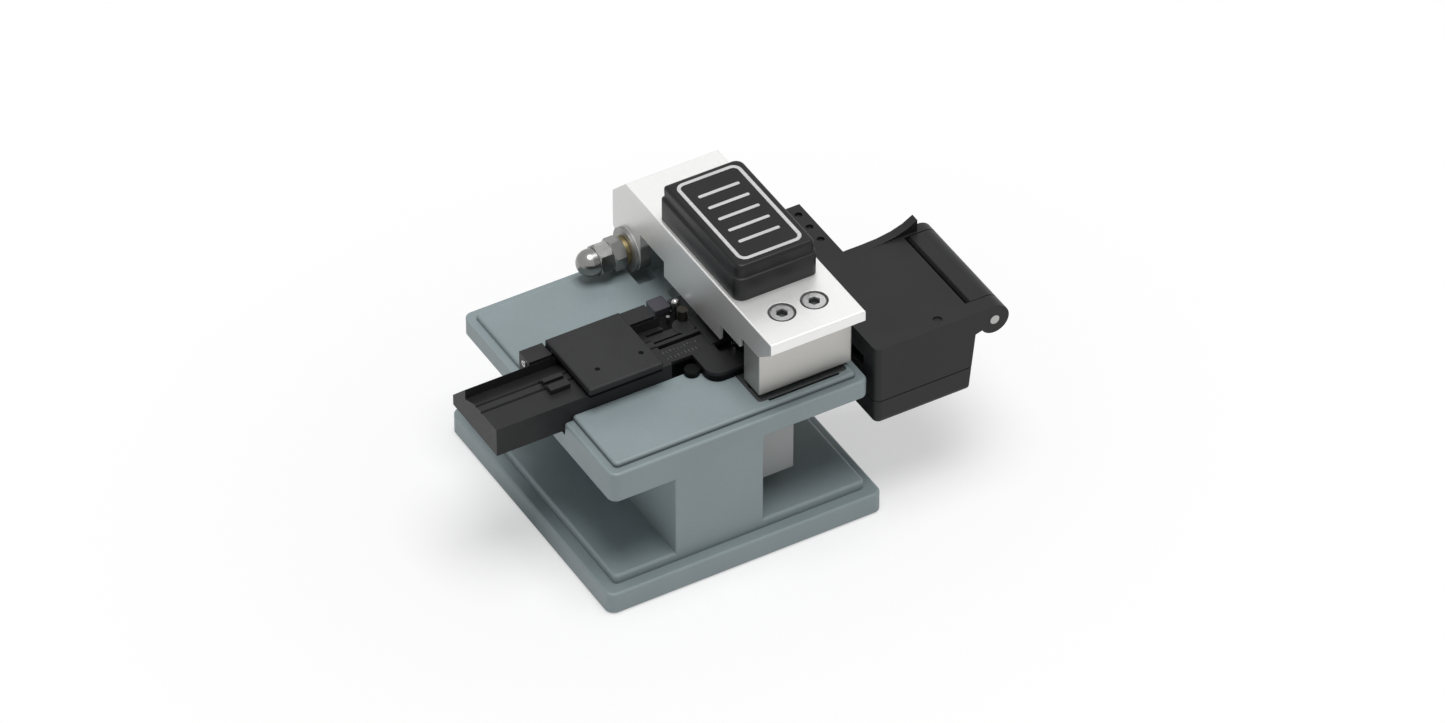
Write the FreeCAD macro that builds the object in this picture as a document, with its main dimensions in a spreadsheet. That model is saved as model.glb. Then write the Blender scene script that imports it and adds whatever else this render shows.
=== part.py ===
import FreeCAD, Part
import math
import os
import Sketcher

# Fibre cleaver: a grey cast frame, a hinged clamp arm, a blade carriage that slides in the frame,
# a fibre holder with a hinged lid, and a scrap box that swings down from a fixed cover.
# Millimetres. +X runs along the fibre towards the scrap box, -Y is the front, +Z is up.
# The origin is on the table, below the middle of the base.

DRIVING_SIZES = [
    # Base plate
    ("base_width", 70.0),
    ("base_depth", 72.8),
    ("pad_stand", 0.4),
    ("pad_recess", 0.8),
    ("pad_inset", 5.0),
    ("rim_top", 5.7),
    ("base_top", 8.1),
    ("base_ledge", 3.0),
    ("corner_round", 2.2),
    ("step_round", 0.7),
    # Column and deck
    ("column_left", -16.5),
    ("column_right", 5.8),
    ("deck_left_inset", 2.5),
    ("deck_right_inset", 2.1),
    ("deck_back_inset", 2.1),
    ("deck_under", 29.6),
    ("right_under", 32.6),
    ("relief_back", 20.0),
    ("floor_rim", 34.0),
    ("floor_top", 35.3),
    ("raised_rim", 37.4),
    ("raised_top", 38.7),
    ("deck_ledge", 2.1),
    ("raised_back", -12.6),
    # Carriage slot through the deck
    ("slot_left", 7.0),
    ("slot_margin", 3.3),
    ("slot_front", -29.3),
    ("slot_round", 0.9),
    ("finger_inset", 2.3),
    ("finger_gap", 0.55),
    ("rebate_floor", 36.1),
    ("well_left", 10.2),
    ("well_right", 19.0),
    ("well_front", -25.8),
    # Arm hinge
    ("hinge_inset", 4.6),
    ("hinge_height", 40.0),
    ("shaft_radius", 2.0),
    ("nut_flats", 7.0),
    ("nut_height", 3.2),
    ("acorn_height", 3.5),
    ("washer_radius", 3.4),
    ("washer_thick", 1.0),
    ("dome_radius", 3.2),
    ("shaft_gap", 0.04),
    ("side_gap", 0.5),
    ("post_radius", 4.5),
    ("boss_radius", 5.3),
    ("boss_height", 1.0),
    ("lug_radius", 5.4),
    ("lug_wall", 2.6),
    ("notch_gap", 1.9),
    ("notch_floor", 33.0),
    # Clamp arm
    ("arm_left", 7.6),
    ("arm_margin", 1.3),
    ("arm_front_gap", 0.05),
    ("arm_tail", 7.0),
    ("arm_under", 50.6),
    ("arm_thick", 7.15),
    ("arm_wall", 0.75),
    ("wall_bottom", 43.4),
    ("wall_front", -19.9),
    ("wall_step", -11.2),
    ("relief_front", 13.65),
    ("relief_top", 47.65),
    ("lip_height", 2.8),
    ("lip_reach", 5.35),
    ("back_bevel", 5.8),
    ("tail_bottom", 2.0),
    # Foot block and its screws
    ("block_inset", 0.2),
    ("block_back", -21.15),
    ("block_depth", 6.85),
    ("block_bottom", 39.5),
    ("screw_spacing", 8.2),
    ("screw_left", 15.5),
    ("screw_head_radius", 2.75),
    ("screw_head_height", 3.0),
    ("screw_sink", 3.2),
    ("screw_hole_radius", 3.2),
    ("screw_shank_radius", 1.5),
    ("screw_shank_length", 11.0),
    ("screw_hex", 2.5),
    # Arm cover
    ("cap_inset", 0.5),
    ("cap_margin", 1.7),
    ("cap_front", -15.4),
    ("cap_length", 33.0),
    ("cap_skirt", 5.8),
    ("cap_crown", 3.6),
    ("cap_taper", 1.1),
    ("cap_step", 0.3),
    ("cap_round", 2.6),
    ("cap_wall", 1.6),
    ("trim_height", 0.25),
    ("trim_line", 0.9),
    ("trim_margin", 3.0),
    ("bar_pitch", 3.6),
    # Fibre holder
    ("holder_left", -49.5),
    ("holder_right", -0.6),
    ("holder_step", -5.4),
    ("holder_front", -12.5),
    ("holder_back", 7.4),
    ("holder_top", 42.8),
    ("trough_floor", 41.1),
    ("rib_front", 1.7),
    ("rib_top", 43.8),
    ("groove_near", -5.7),
    ("groove_far", -3.3),
    ("groove_width", 0.8),
    ("groove_depth", 0.6),
    # Holder lid
    ("lid_left", -26.8),
    ("lid_right", -8.2),
    ("lid_front", -13.8),
    ("lid_back", 6.25),
    ("lid_bottom", 43.1),
    ("lid_thick", 2.2),
    ("lid_axis_y", 4.8),
    ("lid_axis_height", 42.0),
    ("knuckle_radius", 2.0),
    ("lid_pin_radius", 0.75),
    ("lid_gap", 0.3),
    ("ear_left", -32.9),
    ("ear_right", -1.2),
    ("ear_top", 43.7),
    ("magnet_radius", 1.5),
    ("magnet_height", 1.2),
    # Fibre clamps and anvil
    ("blade_line", 13.0),
    ("clamp_line", -4.5),
    ("pad_top", 42.6),
    ("pad_height", 1.2),
    ("pad_depth", 6.0),
    ("pad_gap", 0.3),
    ("bracket_width", 7.2),
    ("bracket_back", 8.0),
    ("bracket_foot", 2.7),
    ("bracket_top", 41.2),
    ("nose_width", 5.8),
    ("nose_front", -19.0),
    ("nose_round", 3.2),
    ("nose_reach", 4.1),
    ("nose_back", -12.7),
    ("scale_left", -5.2),
    ("scale_front", -10.3),
    ("channel_front", -5.3),
    ("channel_back", -2.6),
    ("channel_floor", 40.0),
    ("ridge_width", 1.0),
    ("ridge_top", 41.5),
    ("rail_back", -0.4),
    ("disc_radius", 2.6),
    ("post_height", 6.0),
    ("post_pin_radius", 1.2),
    ("detent_height", 42.0),
    ("detent_ball", 0.95),
    ("tongue_bottom", 39.2),
    ("head_left", 9.2),
    ("head_right", 17.8),
    ("head_depth", 10.0),
    ("float_travel", 0.8),
    ("clamp_pin_radius", 0.8),
    ("anvil_width", 1.4),
    # Blade carriage
    ("carriage_travel", 22.0),
    ("plate_top", 38.6),
    ("plate_thick", 2.2),
    ("plate_gap", 0.2),
    ("plate_back", -5.0),
    ("carriage_right", 18.4),
    ("carriage_front", -25.3),
    ("carriage_back", -7.0),
    ("carriage_bottom", 12.0),
    ("slide_gap", 0.06),
    ("tongue_height", 22.0),
    ("tongue_width", 7.4),
    ("tongue_head", 1.9),
    ("tongue_neck", 1.3),
    ("tongue_back", 1.5),
    ("blade_radius", 8.0),
    ("blade_thick", 1.0),
    ("blade_bore", 2.5),
    ("hub_radius", 3.6),
    ("spindle_radius", 1.5),
    ("blade_y", -14.5),
    # Scrap cover and box
    ("cover_gap", 1.5),
    ("cover_front", -33.5),
    ("cover_back", -0.3),
    ("cover_top", 44.8),
    ("cover_bottom", 29.8),
    ("cover_wall", 1.6),
    ("cover_width", 25.4),
    ("wing_width", 11.2),
    ("wing_back", 18.9),
    ("wing_thick", 2.8),
    ("box_bottom", 22.9),
    ("box_foot_width", 24.1),
    ("box_draft", 1.9),
    ("box_wall", 1.5),
    ("box_lip", 36.0),
    ("box_gap", 0.25),
    ("scrap_axis_reach", 30.6),
    ("scrap_axis_height", 41.1),
    ("scrap_knuckle", 3.7),
    ("scrap_pin_radius", 1.15),
    ("cheek_width", 4.1),
    ("window_front", -28.1),
    ("window_back", -2.9),
    ("window_bottom", 36.3),
    ("window_top", 42.4),
    ("fin_thick", 2.2),
    ("fin_rise", 3.2),
]


class Dim:
    """A length that knows both its number and the spreadsheet expression behind it."""

    def __init__(self, text, number):
        self.text = text
        self.number = number

    def _join(self, other, sign, number, swap=False):
        if not isinstance(other, Dim):
            other = Dim(repr(float(other)), float(other))
        first, second = (other, self) if swap else (self, other)
        return Dim("(%s %s %s)" % (first.text, sign, second.text), number(first.number, second.number))

    def __add__(self, other):
        return self._join(other, "+", lambda a, b: a + b)

    def __radd__(self, other):
        return self._join(other, "+", lambda a, b: a + b, True)

    def __sub__(self, other):
        return self._join(other, "-", lambda a, b: a - b)

    def __rsub__(self, other):
        return self._join(other, "-", lambda a, b: a - b, True)

    def __mul__(self, other):
        return self._join(other, "*", lambda a, b: a * b)

    def __rmul__(self, other):
        return self._join(other, "*", lambda a, b: a * b, True)

    def __truediv__(self, other):
        return self._join(other, "/", lambda a, b: a / b)

    def __neg__(self):
        return Dim("(0 - %s)" % self.text, -self.number)


class Sizes:
    """The driving dimensions, each one a named cell of the spreadsheet."""

    def __init__(self, doc, table):
        self.sheet = doc.addObject("Spreadsheet::Sheet", "Sizes")
        for row, (alias, value) in enumerate(table, start=1):
            self.sheet.set("A%d" % row, alias)
            self.sheet.set("B%d" % row, str(value))
            self.sheet.setAlias("B%d" % row, alias)
        doc.recompute()
        for alias, _ in table:
            setattr(self, alias, Dim("Sizes.%s" % alias, float(self.sheet.get(alias))))


doc = FreeCAD.newDocument("fibre_cleaver")
s = Sizes(doc, DRIVING_SIZES)
delivered = []

# Places that follow from the driving sizes
s.deck_front = -(s.base_depth / 2) + s.base_ledge
s.deck_back = s.base_depth / 2 - s.deck_back_inset
s.deck_left = -(s.base_width / 2) + s.deck_left_inset
s.deck_right = s.base_width / 2 - s.deck_right_inset
s.hinge_y = s.deck_back - s.hinge_inset
s.arm_front = s.deck_front + s.arm_front_gap
s.arm_back = s.hinge_y + s.arm_tail
s.arm_right = s.deck_right - s.arm_margin
s.arm_width = s.arm_right - s.arm_left
s.cap_left = s.arm_left + s.cap_inset
s.cap_width = s.arm_width - s.cap_inset - s.cap_margin
s.slot_right = s.deck_right - s.slot_margin
s.arm_top = s.arm_under + s.arm_thick
s.cover_left = s.deck_right + s.cover_gap
s.cover_edge = s.cover_left + s.cover_width
s.wing_right = s.cover_left + s.wing_width
s.box_foot_right = s.cover_left + s.box_foot_width
s.box_waist_right = s.box_foot_right + s.box_draft
s.scrap_axis_x = s.cover_left + s.scrap_axis_reach
s.slot_back = s.plate_back + s.carriage_travel + 0.6
s.column_back = s.tongue_back + s.carriage_travel + 0.5
s.head_bottom = s.pad_top + s.pad_gap + s.pad_height
s.head_height = s.arm_under - s.head_bottom - s.float_travel - 0.4
s.bracket_right = s.slot_left - 0.2
s.bracket_left = s.bracket_right - s.bracket_width
s.foot_top = s.floor_top + s.bracket_foot

ALONG = {
    "x": FreeCAD.Rotation(FreeCAD.Vector(0, 1, 0), 90),
    "y": FreeCAD.Rotation(FreeCAD.Vector(1, 0, 0), -90),
    "z": FreeCAD.Rotation(),
}
PLANES = {"x": "YZ_Plane", "y": "XZ_Plane", "z": "XY_Plane"}


def number(value):
    return value.number if isinstance(value, Dim) else float(value)


def bind(obj, prop, value):
    """Set a property from a number, or bind it to the spreadsheet."""
    if isinstance(value, Dim):
        obj.setExpression(prop, value.text)
    else:
        target = obj
        *path, last = prop.split(".")
        for name in path:
            target = getattr(target, name)
        if path:
            placement = obj.Placement
            setattr(placement.Base, last, float(value))
            obj.Placement = placement
        else:
            setattr(target, last, float(value))


def put(obj, x, y, z):
    bind(obj, "Placement.Base.x", x)
    bind(obj, "Placement.Base.y", y)
    bind(obj, "Placement.Base.z", z)
    return obj


def block(name, x, y, z):
    """A box between two bounds on each axis."""
    obj = doc.addObject("Part::Box", name)
    bind(obj, "Length", x[1] - x[0])
    bind(obj, "Width", y[1] - y[0])
    bind(obj, "Height", z[1] - z[0])
    return put(obj, x[0], y[0], z[0])


def rod(name, axis, start, radius, length):
    """A cylinder that starts at a point and runs along +axis."""
    obj = doc.addObject("Part::Cylinder", name)
    obj.Placement = FreeCAD.Placement(FreeCAD.Vector(), ALONG[axis])
    bind(obj, "Radius", radius)
    bind(obj, "Height", length)
    return put(obj, *start)


def taper(name, axis, start, radius, end_radius, length):
    obj = doc.addObject("Part::Cone", name)
    obj.Placement = FreeCAD.Placement(FreeCAD.Vector(), ALONG[axis])
    bind(obj, "Radius1", radius)
    bind(obj, "Radius2", end_radius)
    bind(obj, "Height", length)
    return put(obj, *start)


def hexagon(name, axis, start, flats, length):
    obj = doc.addObject("Part::Prism", name)
    obj.Placement = FreeCAD.Placement(FreeCAD.Vector(), ALONG[axis])
    obj.Polygon = 6
    bind(obj, "Circumradius", flats / math.sqrt(3.0))
    bind(obj, "Height", length)
    return put(obj, *start)


def ball(name, centre, radius):
    obj = doc.addObject("Part::Sphere", name)
    bind(obj, "Radius", radius)
    return put(obj, *centre)


def fuse(name, pieces):
    obj = doc.addObject("Part::MultiFuse", name)
    obj.Shapes = pieces
    obj.Refine = True
    return obj


def cut(name, base, tools):
    tool = tools[0] if len(tools) == 1 else fuse(name + "_tools", tools)
    obj = doc.addObject("Part::Cut", name)
    obj.Base = base
    obj.Tool = tool
    obj.Refine = True
    return obj


def group(name, pieces):
    obj = doc.addObject("Part::Compound", name)
    obj.Links = pieces
    return obj


def rounded(name, base, radius, wanted):
    """Fillet the edges of base that the function wanted picks by their middle point and direction."""
    doc.recompute()
    picked = []
    for index, edge in enumerate(base.Shape.Edges, start=1):
        middle = edge.valueAt((edge.FirstParameter + edge.LastParameter) / 2)
        first = edge.valueAt(edge.FirstParameter)
        last = edge.valueAt(edge.LastParameter)
        if wanted(middle, last - first):
            picked.append((index, number(radius), number(radius)))
    obj = doc.addObject("Part::Fillet", name)
    obj.Base = base
    obj.Edges = picked
    return obj


def upright(middle, run):
    return abs(run.z) > 0.1 and abs(run.x) + abs(run.y) < 0.01


def near(value, target):
    return abs(value - number(target)) < 0.02


def profile(name, axis, points, low, high):
    """A body padded along an axis from a closed sketch whose corners are bound to the spreadsheet.

    Along x the corners are (y, z), along y they are (x, z) and along z they are (x, y).
    """
    body = doc.addObject("PartDesign::Body", name)
    sketch = body.newObject("Sketcher::SketchObject", name + "_outline")
    plane = [item for item in body.Origin.OriginFeatures if item.Role == PLANES[axis]][0]
    sketch.AttachmentSupport = [(plane, "")]
    sketch.MapMode = "FlatFace"
    corners = [FreeCAD.Vector(number(a), number(b), 0) for a, b in points]
    count = len(corners)
    for index in range(count):
        sketch.addGeometry(Part.LineSegment(corners[index], corners[(index + 1) % count]), False)
    for index in range(count):
        sketch.addConstraint(Sketcher.Constraint("Coincident", index, 2, (index + 1) % count, 1))
    for index, (across, up) in enumerate(points):
        for kind, label, value in (("DistanceX", "across", across), ("DistanceY", "up", up)):
            spot = sketch.addConstraint(Sketcher.Constraint(kind, -1, 1, index, 1, number(value)))
            sketch.renameConstraint(spot, "%s%d" % (label, index))
            if isinstance(value, Dim):
                sketch.setExpression("Constraints.%s%d" % (label, index), value.text)
    pad = body.newObject("PartDesign::Pad", name + "_pad")
    pad.Profile = sketch
    bind(pad, "Length", high - low)
    sketch.Visibility = False
    start = high if axis == "y" else low
    bind(body, "Placement.Base." + axis, start)
    return body


def deliver(obj, label):
    obj.Label = label
    delivered.append(obj)
    return obj


def socket_screw(name, axis_point, head_radius, head_height, shank_radius, shank_length, flats):
    """A socket head cap screw pointing down, placed by the middle of its head's top face."""
    x, y, top = axis_point
    head = rod(name + "_head", "z", (x, y, top - head_height), head_radius, head_height)
    shank = rod(name + "_shank", "z", (x, y, top - head_height - shank_length), shank_radius,
                shank_length + 0.2)
    socket = hexagon(name + "_socket", "z", (x, y, top - head_height * 0.5), flats, head_height)
    return cut(name, fuse(name + "_blank", [head, shank]), [socket])


def arc_points(centre, radius, start, end, steps):
    """Corner points along an arc, in degrees, for a sketch outline."""
    points = []
    for step in range(steps + 1):
        angle = math.radians(start + (end - start) * step / steps)
        points.append((centre[0] + radius * math.cos(angle), centre[1] + radius * math.sin(angle)))
    return points


def make_frame():
    """Base plate, column and deck, milled from one casting, with a hinge post at the back."""
    half_width = s.base_width / 2
    half_depth = s.base_depth / 2
    front = s.deck_front
    high = 200.0
    plate = block("base_plate", (-half_width, half_width), (-half_depth, half_depth), (s.pad_stand, s.rim_top))
    plate = rounded("base_plate_corners", plate, s.corner_round, upright)
    plate = rounded("base_plate_edges", plate, s.step_round,
                    lambda m, run: near(m.z, s.rim_top))
    panel = block("base_panel", (-half_width + s.base_ledge, half_width - s.base_ledge),
                  (front, half_depth - s.base_ledge), (s.rim_top - 1.0, s.base_top))
    panel = rounded("base_panel_corners", panel, s.corner_round / 2, upright)
    panel = rounded("base_panel_edges", panel, s.step_round, lambda m, run: near(m.z, s.base_top))
    column = block("column", (s.column_left, s.column_right), (front, s.column_back),
                   (s.base_top - 1.0, s.deck_under + 1.0))
    column = rounded("column_corners", column, s.step_round / 2, upright)

    deck = block("deck_plate", (s.deck_left, s.deck_right), (front, s.deck_back), (s.deck_under, s.floor_rim))
    deck = rounded("deck_corners", deck, s.corner_round, upright)
    thinner = block("deck_relief", (s.column_right, s.deck_right + 1), (front - 1, s.relief_back),
                    (s.deck_under - 1, s.right_under))
    deck = cut("deck_relieved", deck, [thinner])
    deck = rounded("deck_lower_edges", deck, s.step_round / 2,
                   lambda m, run: m.z < number(s.right_under) + 0.01 and abs(run.z) < 0.01
                   and (near(m.x, s.deck_left) or near(m.y, front) or near(m.x, s.deck_right)))
    floor = block("deck_floor", (s.deck_left + s.deck_ledge, s.deck_right - s.deck_ledge),
                  (s.raised_back - 1, s.deck_back - s.deck_ledge), (s.floor_rim - 1.0, s.floor_top))
    floor = rounded("deck_floor_corners", floor, s.corner_round / 2,
                    lambda m, run: upright(m, run) and m.y > 0)
    floor = rounded("deck_floor_edges", floor, s.step_round,
                    lambda m, run: near(m.z, s.floor_top) and not near(m.y, s.raised_back - 1))
    raised = block("deck_raised", (s.deck_left, s.deck_right), (front, s.raised_back),
                   (s.floor_rim - 1.0, s.raised_rim))
    raised = rounded("deck_raised_corners", raised, s.corner_round,
                     lambda m, run: upright(m, run) and m.y < number(front) + 1)
    raised = rounded("deck_raised_edges", raised, s.step_round,
                     lambda m, run: near(m.z, s.raised_rim) and not near(m.y, s.raised_back))
    top = block("deck_panel", (s.deck_left + s.deck_ledge, s.deck_right - s.deck_ledge),
                (front + s.deck_ledge, s.raised_back), (s.raised_rim - 1.0, s.raised_top))
    top = rounded("deck_panel_corners", top, s.corner_round / 2,
                  lambda m, run: upright(m, run) and m.y < number(front) + 4)
    top = rounded("deck_panel_edges", top, s.step_round,
                  lambda m, run: near(m.z, s.raised_top) and not near(m.y, s.raised_back))

    slot = block("carriage_slot", (s.slot_left, s.slot_right), (s.slot_front, s.slot_back),
                 (s.rebate_floor, high))
    slot = rounded("carriage_slot_corners", slot, s.slot_round, upright)
    finger = block("plate_finger_gap", (s.slot_left + s.finger_inset, s.slot_right - s.finger_inset),
                   (s.slot_front - s.finger_gap, s.slot_front + 1), (s.rebate_floor, high))
    finger = rounded("plate_finger_corners", finger, s.finger_gap / 2, upright)
    well = block("carriage_well", (s.well_left, s.well_right), (s.well_front, s.slot_back),
                 (s.deck_under - 1, high))
    well = rounded("carriage_well_corners", well, s.slot_round, upright)
    groove = profile("tongue_groove", "y", tongue_outline(s.slide_gap, s.column_right + 1),
                     s.carriage_front - 0.5, s.column_back + 1)
    lug_slot = s.lug_wall + 2 * s.side_gap
    notch_front = s.hinge_y - s.lug_radius - s.notch_gap
    left_notch = block("left_notch", (s.arm_left - s.boss_height - s.side_gap,
                                      s.arm_left + lug_slot - s.side_gap),
                       (notch_front, s.deck_back + 1), (s.notch_floor, high))
    right_notch = block("right_notch", (s.arm_left + s.arm_width - lug_slot + s.side_gap, s.deck_right + 1),
                        (notch_front, s.deck_back + 1), (s.notch_floor, high))
    pad_seat = base_pad_blank("base_pad_seat")
    screw_seats = []
    for index, (across, along) in enumerate(holder_screw_places()):
        screw_seats.append(rod("holder_seat%d" % index, "z", (across, along, s.deck_under - 1), 2.75, 3.2))
        screw_seats.append(rod("holder_hole%d" % index, "z", (across, along, s.deck_under - 1), 1.5, 12.0))
    for index, (across, height) in enumerate(stop_screw_places()):
        screw_seats.append(rod("stop_thread%d" % index, "y", (across, s.column_back - 4.2, height), 1.0, 5.0))

    post_left = s.arm_left + s.lug_wall + s.side_gap
    post_right = s.arm_left + s.arm_width - s.lug_wall - s.side_gap
    post = block("hinge_post_web", (post_left, post_right),
                 (s.hinge_y - s.post_radius, s.hinge_y + s.post_radius), (s.floor_rim - 1.0, s.hinge_height))
    post_top = rod("hinge_post_top", "x", (post_left, s.hinge_y, s.hinge_height), s.post_radius,
                   post_right - post_left)
    bore = rod("hinge_post_bore", "x", (post_left - 1, s.hinge_y, s.hinge_height), s.shaft_radius,
               post_right - post_left + 2)
    solid = fuse("frame_solid", [plate, panel, column, deck, floor, raised, top])
    solid = cut("frame_open", solid, [slot, finger, well, groove, left_notch, right_notch, pad_seat] + screw_seats)
    solid = fuse("frame_post", [solid, post, post_top])
    return deliver(cut("frame_body", solid, [bore]), "frame")


def base_pad_blank(name):
    """The rubber sheet below the base, which stands a little proud of its shallow recess."""
    across = s.base_width / 2 - s.pad_inset
    along = s.base_depth / 2 - s.pad_inset
    sheet = block(name + "_sheet", (-across, across), (-along, along), (0, s.pad_stand + s.pad_recess))
    return rounded(name, sheet, 3.0, upright)


def holder_screw_places():
    return [(-28.0, -2.5), (-20.5, -2.5)]


def make_base_pad():
    return deliver(base_pad_blank("base_pad_body"), "base_pad")


def make_holder_screws():
    screws = []
    for index, (across, along) in enumerate(holder_screw_places()):
        head = rod("holder_screw_head%d" % index, "z", (across, along, s.deck_under + 0.2), 2.6, 2.0)
        shank = rod("holder_screw_shank%d" % index, "z", (across, along, s.deck_under + 2.2), 1.5, 7.5)
        socket = hexagon("holder_screw_socket%d" % index, "z", (across, along, s.deck_under), 2.0, 1.2)
        screws.append(cut("holder_screw%d" % index, fuse("holder_screw_blank%d" % index, [head, shank]),
                          [socket]))
    return deliver(group("holder_screw_group", screws), "holder_screws")


def make_arm():
    """Channel-shaped clamp arm with a lifting lip, two side lugs and a boss on each."""
    right = s.arm_left + s.arm_width
    lip_bottom = s.arm_top - s.lip_height
    slope_end = s.arm_front + s.lip_reach
    lug_front = s.hinge_y - s.lug_radius
    lower_arc = arc_points((s.hinge_y, s.hinge_height), s.lug_radius, 0, -180, 10)
    outline = [
        (s.arm_front, s.arm_top),
        (s.arm_front, lip_bottom),
        (slope_end, s.arm_under),
        (s.wall_front, s.arm_under),
        (s.wall_front, s.relief_top),
        (s.wall_step, s.relief_top),
        (s.wall_step, s.wall_bottom),
        (s.relief_front, s.wall_bottom),
        (s.relief_front, s.relief_top),
        (lug_front, s.relief_top),
    ]
    outline += lower_arc[::-1]
    outline += [
        (s.arm_back, s.hinge_height + s.tail_bottom),
        (s.arm_back, s.arm_top - s.back_bevel),
        (s.arm_back - s.back_bevel, s.arm_top),
    ]
    side = profile("arm_side", "x", outline, s.arm_left, right)
    channel = block("arm_channel", (s.arm_left + s.arm_wall, right - s.arm_wall),
                    (s.wall_front - 1, s.hinge_y - s.lug_radius - 2), (s.wall_bottom - 20, s.arm_under))
    fork = block("arm_fork", (s.arm_left + s.lug_wall, right - s.lug_wall),
                 (s.relief_front, s.arm_back + 1), (s.wall_bottom - 20, s.arm_under))
    boss_left = rod("arm_boss_left", "x", (s.arm_left - s.boss_height, s.hinge_y, s.hinge_height),
                    s.boss_radius, s.boss_height + 1)
    boss_right = rod("arm_boss_right", "x", (right - 1, s.hinge_y, s.hinge_height),
                     s.boss_radius, s.boss_height * 0.3 + 1)
    bore = rod("arm_bore", "x", (s.arm_left - 5, s.hinge_y, s.hinge_height),
               s.shaft_radius + s.shaft_gap, s.arm_width + 10)
    tools = [bore]
    for index, across in enumerate(screw_places()):
        along = block_middle()
        tools.append(rod("arm_counterbore%d" % index, "z", (across, along, s.arm_top - s.screw_sink),
                         s.screw_hole_radius, s.screw_sink + 1))
        tools.append(rod("arm_screw_hole%d" % index, "z", (across, along, s.arm_under - 1),
                         s.screw_shank_radius + 0.2, s.arm_thick))
    for index, along in enumerate(clamp_pin_places()):
        tools.append(rod("arm_pin_hole%d" % index, "z", (s.blade_line, along, s.arm_under - 1),
                         s.clamp_pin_radius, 4.0))
    anvil_x, anvil_y = anvil_bounds()
    tools.append(block("arm_anvil_seat", anvil_x, anvil_y, (s.arm_under - 1, s.arm_under + 2.5)))
    arm = cut("arm_hollow", side, [channel, fork])
    arm = fuse("arm_bossed", [arm, boss_left, boss_right])
    arm = cut("arm_drilled", arm, tools)
    front_edges = rounded("arm_body", arm, s.step_round / 2,
                          lambda m, run: near(m.z, s.arm_top) and abs(run.x) + abs(run.y) > 5)
    return deliver(front_edges, "clamp_arm")


def block_middle():
    return s.block_back - s.block_depth / 2


def screw_tip():
    return s.arm_top - s.screw_sink - s.screw_shank_length


def screw_places():
    return [s.screw_left, s.screw_left + s.screw_spacing]


def clamp_pin_places():
    return [s.clamp_line - s.head_depth / 2 + 1.4, s.clamp_line + s.head_depth / 2 - 1.4]


def anvil_bounds():
    across = (s.blade_line - s.anvil_width / 2, s.blade_line + s.anvil_width / 2)
    along = (s.clamp_line - 1.6, s.clamp_line + 1.6)
    return across, along


def make_foot_block():
    right = s.arm_left + s.arm_width
    body = block("foot_block_blank", (s.arm_left + s.block_inset, right - s.block_inset),
                 (s.block_back - s.block_depth, s.block_back), (s.block_bottom, s.arm_under))
    holes = []
    for index, across in enumerate(screw_places()):
        holes.append(rod("block_thread%d" % index, "z", (across, block_middle(), screw_tip() - 0.4),
                         s.screw_shank_radius, s.arm_under - screw_tip() + 1.4))
    holes.append(rod("block_magnet_seat", "z", (s.arm_left + s.arm_width / 2, block_middle(),
                                               s.block_bottom - 1), 2.5, 3.0))
    body = cut("foot_block_drilled", body, holes)
    body = rounded("foot_block_body", body, 0.3, lambda m, run: upright(m, run) and abs(run.z) > 8)
    return deliver(body, "foot_block")


def make_hold_down_magnet():
    magnet = rod("foot_magnet", "z", (s.arm_left + s.arm_width / 2, block_middle(), s.block_bottom), 2.5, 2.0)
    return deliver(magnet, "hold_down_magnet")


def make_arm_screws():
    screws = []
    for index, across in enumerate(screw_places()):
        top = s.arm_top - s.screw_sink + s.screw_head_height
        screws.append(socket_screw("arm_screw%d" % index, (across, block_middle(), top),
                                   s.screw_head_radius, s.screw_head_height, s.screw_shank_radius,
                                   s.screw_shank_length, s.screw_hex))
    return deliver(group("arm_screw_group", screws), "arm_screws")


def make_cap():
    """Plastic cover on the arm: an upright skirt, a small step and a tapered crown, hollow below."""
    right = s.cap_left + s.cap_width
    back = s.cap_front + s.cap_length
    step_height = s.arm_top + s.cap_skirt
    skirt = block("cap_skirt_blank", (s.cap_left, right), (s.cap_front, back), (s.arm_top, step_height))
    skirt = rounded("cap_skirt_round", skirt, s.cap_round, upright)
    crown = doc.addObject("Part::Wedge", "cap_crown_blank")
    crown.Placement = FreeCAD.Placement(FreeCAD.Vector(), FreeCAD.Rotation(FreeCAD.Vector(1, 0, 0), 90))
    width = s.cap_width - 2 * s.cap_step
    length = s.cap_length - 2 * s.cap_step
    for prop, value in (("Xmin", 0.0), ("Ymin", 0.0), ("Zmin", 0.0), ("X2min", s.cap_taper),
                        ("Z2min", s.cap_taper), ("Xmax", width), ("Ymax", s.cap_crown), ("Zmax", length),
                        ("X2max", width - s.cap_taper), ("Z2max", length - s.cap_taper)):
        bind(crown, prop, value)
    put(crown, s.cap_left + s.cap_step, back - s.cap_step, step_height)
    crown = rounded("cap_crown_round", crown, s.cap_round,
                    lambda m, run: abs(run.z) > number(s.cap_crown) * 0.9)
    crown = rounded("cap_crown_soft", crown, 0.5,
                    lambda m, run: near(m.z, step_height + s.cap_crown))
    cavity = block("cap_cavity", (s.cap_left + s.cap_wall, right - s.cap_wall),
                   (s.cap_front + s.cap_wall, back - s.cap_wall), (s.arm_top - 1, step_height - 0.5))
    body = cut("cap_shell", fuse("cap_solid", [skirt, crown]), [cavity])
    pegs = []
    for index, along in enumerate(cap_peg_places()):
        pegs.append(rod("cap_peg%d" % index, "z", (cap_middle(), along, s.arm_top), 2.4, s.cap_skirt))
    body = fuse("cap_pegged", [body] + pegs)
    holes = []
    for index, along in enumerate(cap_peg_places()):
        holes.append(rod("cap_peg_hole%d" % index, "z", (cap_middle(), along, s.arm_top - 1), 1.0, 6.0))
    return deliver(cut("cap_body", body, holes), "arm_cap")


def cap_middle():
    return s.cap_left + s.cap_width / 2


def cap_peg_places():
    middle = s.cap_front + s.cap_length / 2
    return [middle - 9.0, middle + 9.0]


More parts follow.
